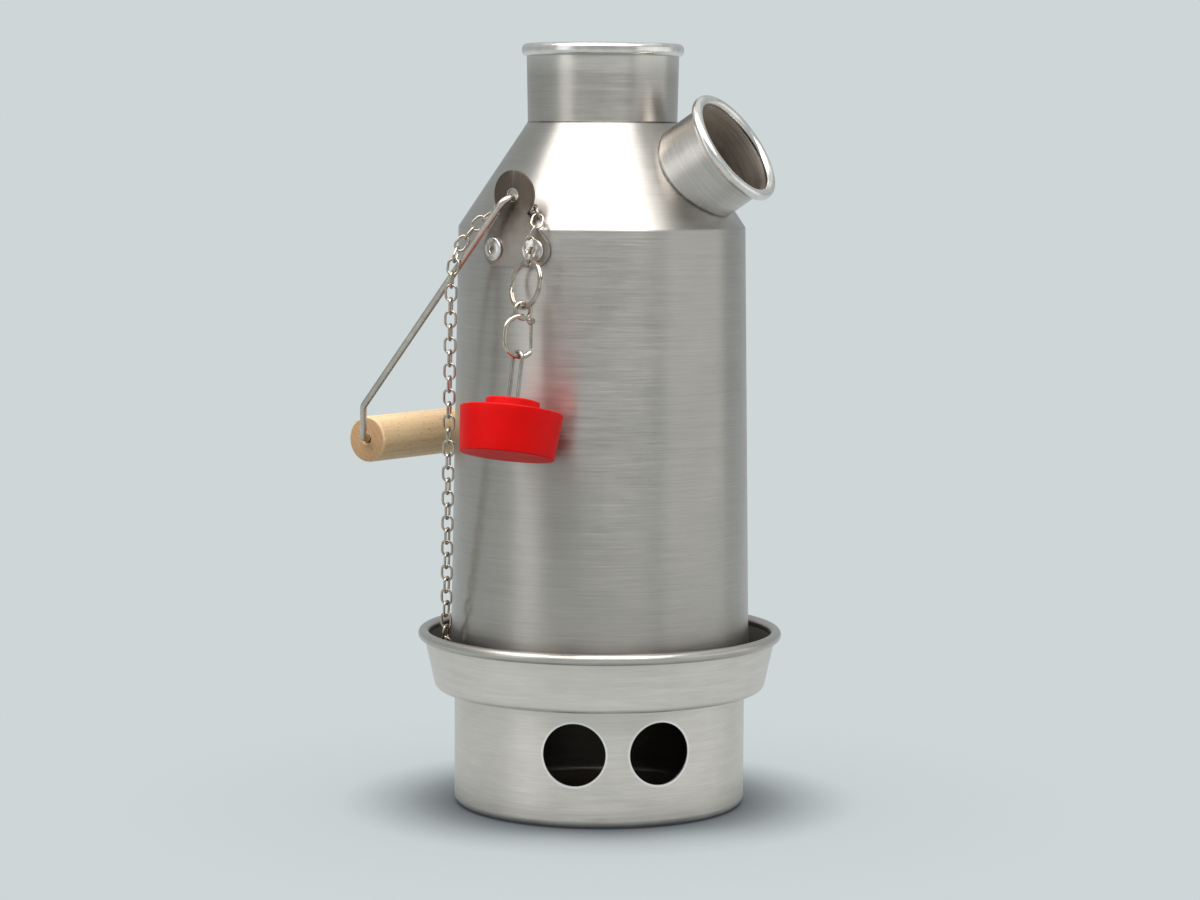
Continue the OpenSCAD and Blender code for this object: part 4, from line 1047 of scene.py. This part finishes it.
ROOM = ((0.0, 0.33), (0.43, 0.2), (0.495, 0.18), (0.505, 0.06), (0.56, 0.05), (0.61, 0.16), (0.78, 0.2),
        (0.86, 0.7), (1.0, 0.8))
ROOM_STRENGTH = 2.0
BAND_SIZE = (3.2, 3.2, 0.3)
BACKDROP_IN_METAL = 0.65
world = bpy.data.worlds.new("studio")
scene.world = world
world.use_nodes = True
t = world.node_tree
t.nodes.clear()
look = node(t, "TexCoord").outputs["Generated"]
height = node(t, "SeparateXYZ", {0: look}).outputs[2]
ramp = node(t, "ValToRGB", {0: node(t, "MapRange", {"Value": height, "From Min": -1.0}).outputs[0]})
ramp.color_ramp.interpolation = "EASE"
for k, (at, value) in enumerate(ROOM):
    stop = ramp.color_ramp.elements[k] if k < 2 else ramp.color_ramp.elements.new(at)
    stop.position, stop.color = at, (value, value, value, 1)
tall = node(t, "VectorMath", {0: look, 1: BAND_SIZE}, operation="MULTIPLY").outputs[0]
bands = node(t, "TexNoise", {"Vector": tall, "Scale": 1.0, "Detail": 1.0, "Roughness": 0.6}).outputs[0]
gap = node(t, "MapRange", {"Value": bands, **NOISE_SPAN, "To Max": 0.5}).outputs[0]
room = node(t, "Mix", {0: gap, COLOUR_A: ramp.outputs[0], COLOUR_B: (0.0, 0.0, 0.0, 1.0)},
            data_type="RGBA").outputs[MIXED]
lit = node(t, "Background", {"Color": room, "Strength": ROOM_STRENGTH}).outputs[0]
seen = node(t, "Background", {"Color": rgb(BACKDROP), "Strength": 1.0}).outputs[0]
# The camera sees only the pale background, and metal sees it through part of the room
rays = node(t, "LightPath").outputs
in_metal = node(t, "Math", {0: rays["Is Glossy Ray"], 1: BACKDROP_IN_METAL}, operation="MULTIPLY").outputs[0]
pale = node(t, "Math", {0: rays["Is Camera Ray"], 1: rays["Is Transmission Ray"]},
            operation="MAXIMUM").outputs[0]
pale = node(t, "Math", {0: pale, 1: in_metal}, operation="MAXIMUM").outputs[0]
node(t, "OutputWorld", {"Surface": node(t, "MixShader", {0: pale, 1: lit, 2: seen}).outputs[0]})


# Lights and camera, in metres

AZIMUTH = 36.0
PITCH = math.radians(5.57)
CAMERA_FAR = 1.31665
CAMERA_Z = 0.27332
CAMERA_ASIDE = -0.00029
CAMERA_ROLL = math.radians(0.326)
SENSOR_MM = 36.0
LENS_MM = 96.9
LIGHT_AIM = Vector((0, 0, 0.2))
# Each light: how far it stands towards the camera, to the right and up, then its size and its power
LIGHTS = (("overhead", (0.55, -0.15, 1.35), (2.4, 1.0), 34),
          ("left_fill", (0.7, -1.1, 0.45), (0.5, 0.9), 1.1),
          ("right_edge", (0.2, 1.1, 0.25), (1.3, 0.7), 1.5))
right = polar(1, AZIMUTH)
toward = polar(1, AZIMUTH - 90)


def stand(name, data, ahead, aside, up):
    """Puts a light or the camera in its place in front of the object."""
    obj = bpy.data.objects.new(name, data)
    scene.collection.objects.link(obj)
    obj.location = toward * ahead + right * aside + Vector((0, 0, up))
    obj.rotation_mode = "QUATERNION"
    return obj


for name, place, size, power in LIGHTS:
    light = bpy.data.lights.new(name, "AREA")
    light.shape = "RECTANGLE"
    light.size, light.size_y = size
    light.energy = power
    softbox = stand(name, light, *place)
    softbox.rotation_quaternion = (LIGHT_AIM - softbox.location).to_track_quat("-Z", "Y")

cam = stand("camera", bpy.data.cameras.new("camera"), CAMERA_FAR, CAMERA_ASIDE, CAMERA_Z)
cam.data.sensor_width = SENSOR_MM
cam.data.lens = LENS_MM
aimed = (-toward * math.cos(PITCH) - Vector((0, 0, math.sin(PITCH)))).to_track_quat("-Z", "Y")
cam.rotation_quaternion = aimed @ Quaternion((0, 0, 1), CAMERA_ROLL)
scene.camera = cam
scene.view_settings.view_transform = "Standard"
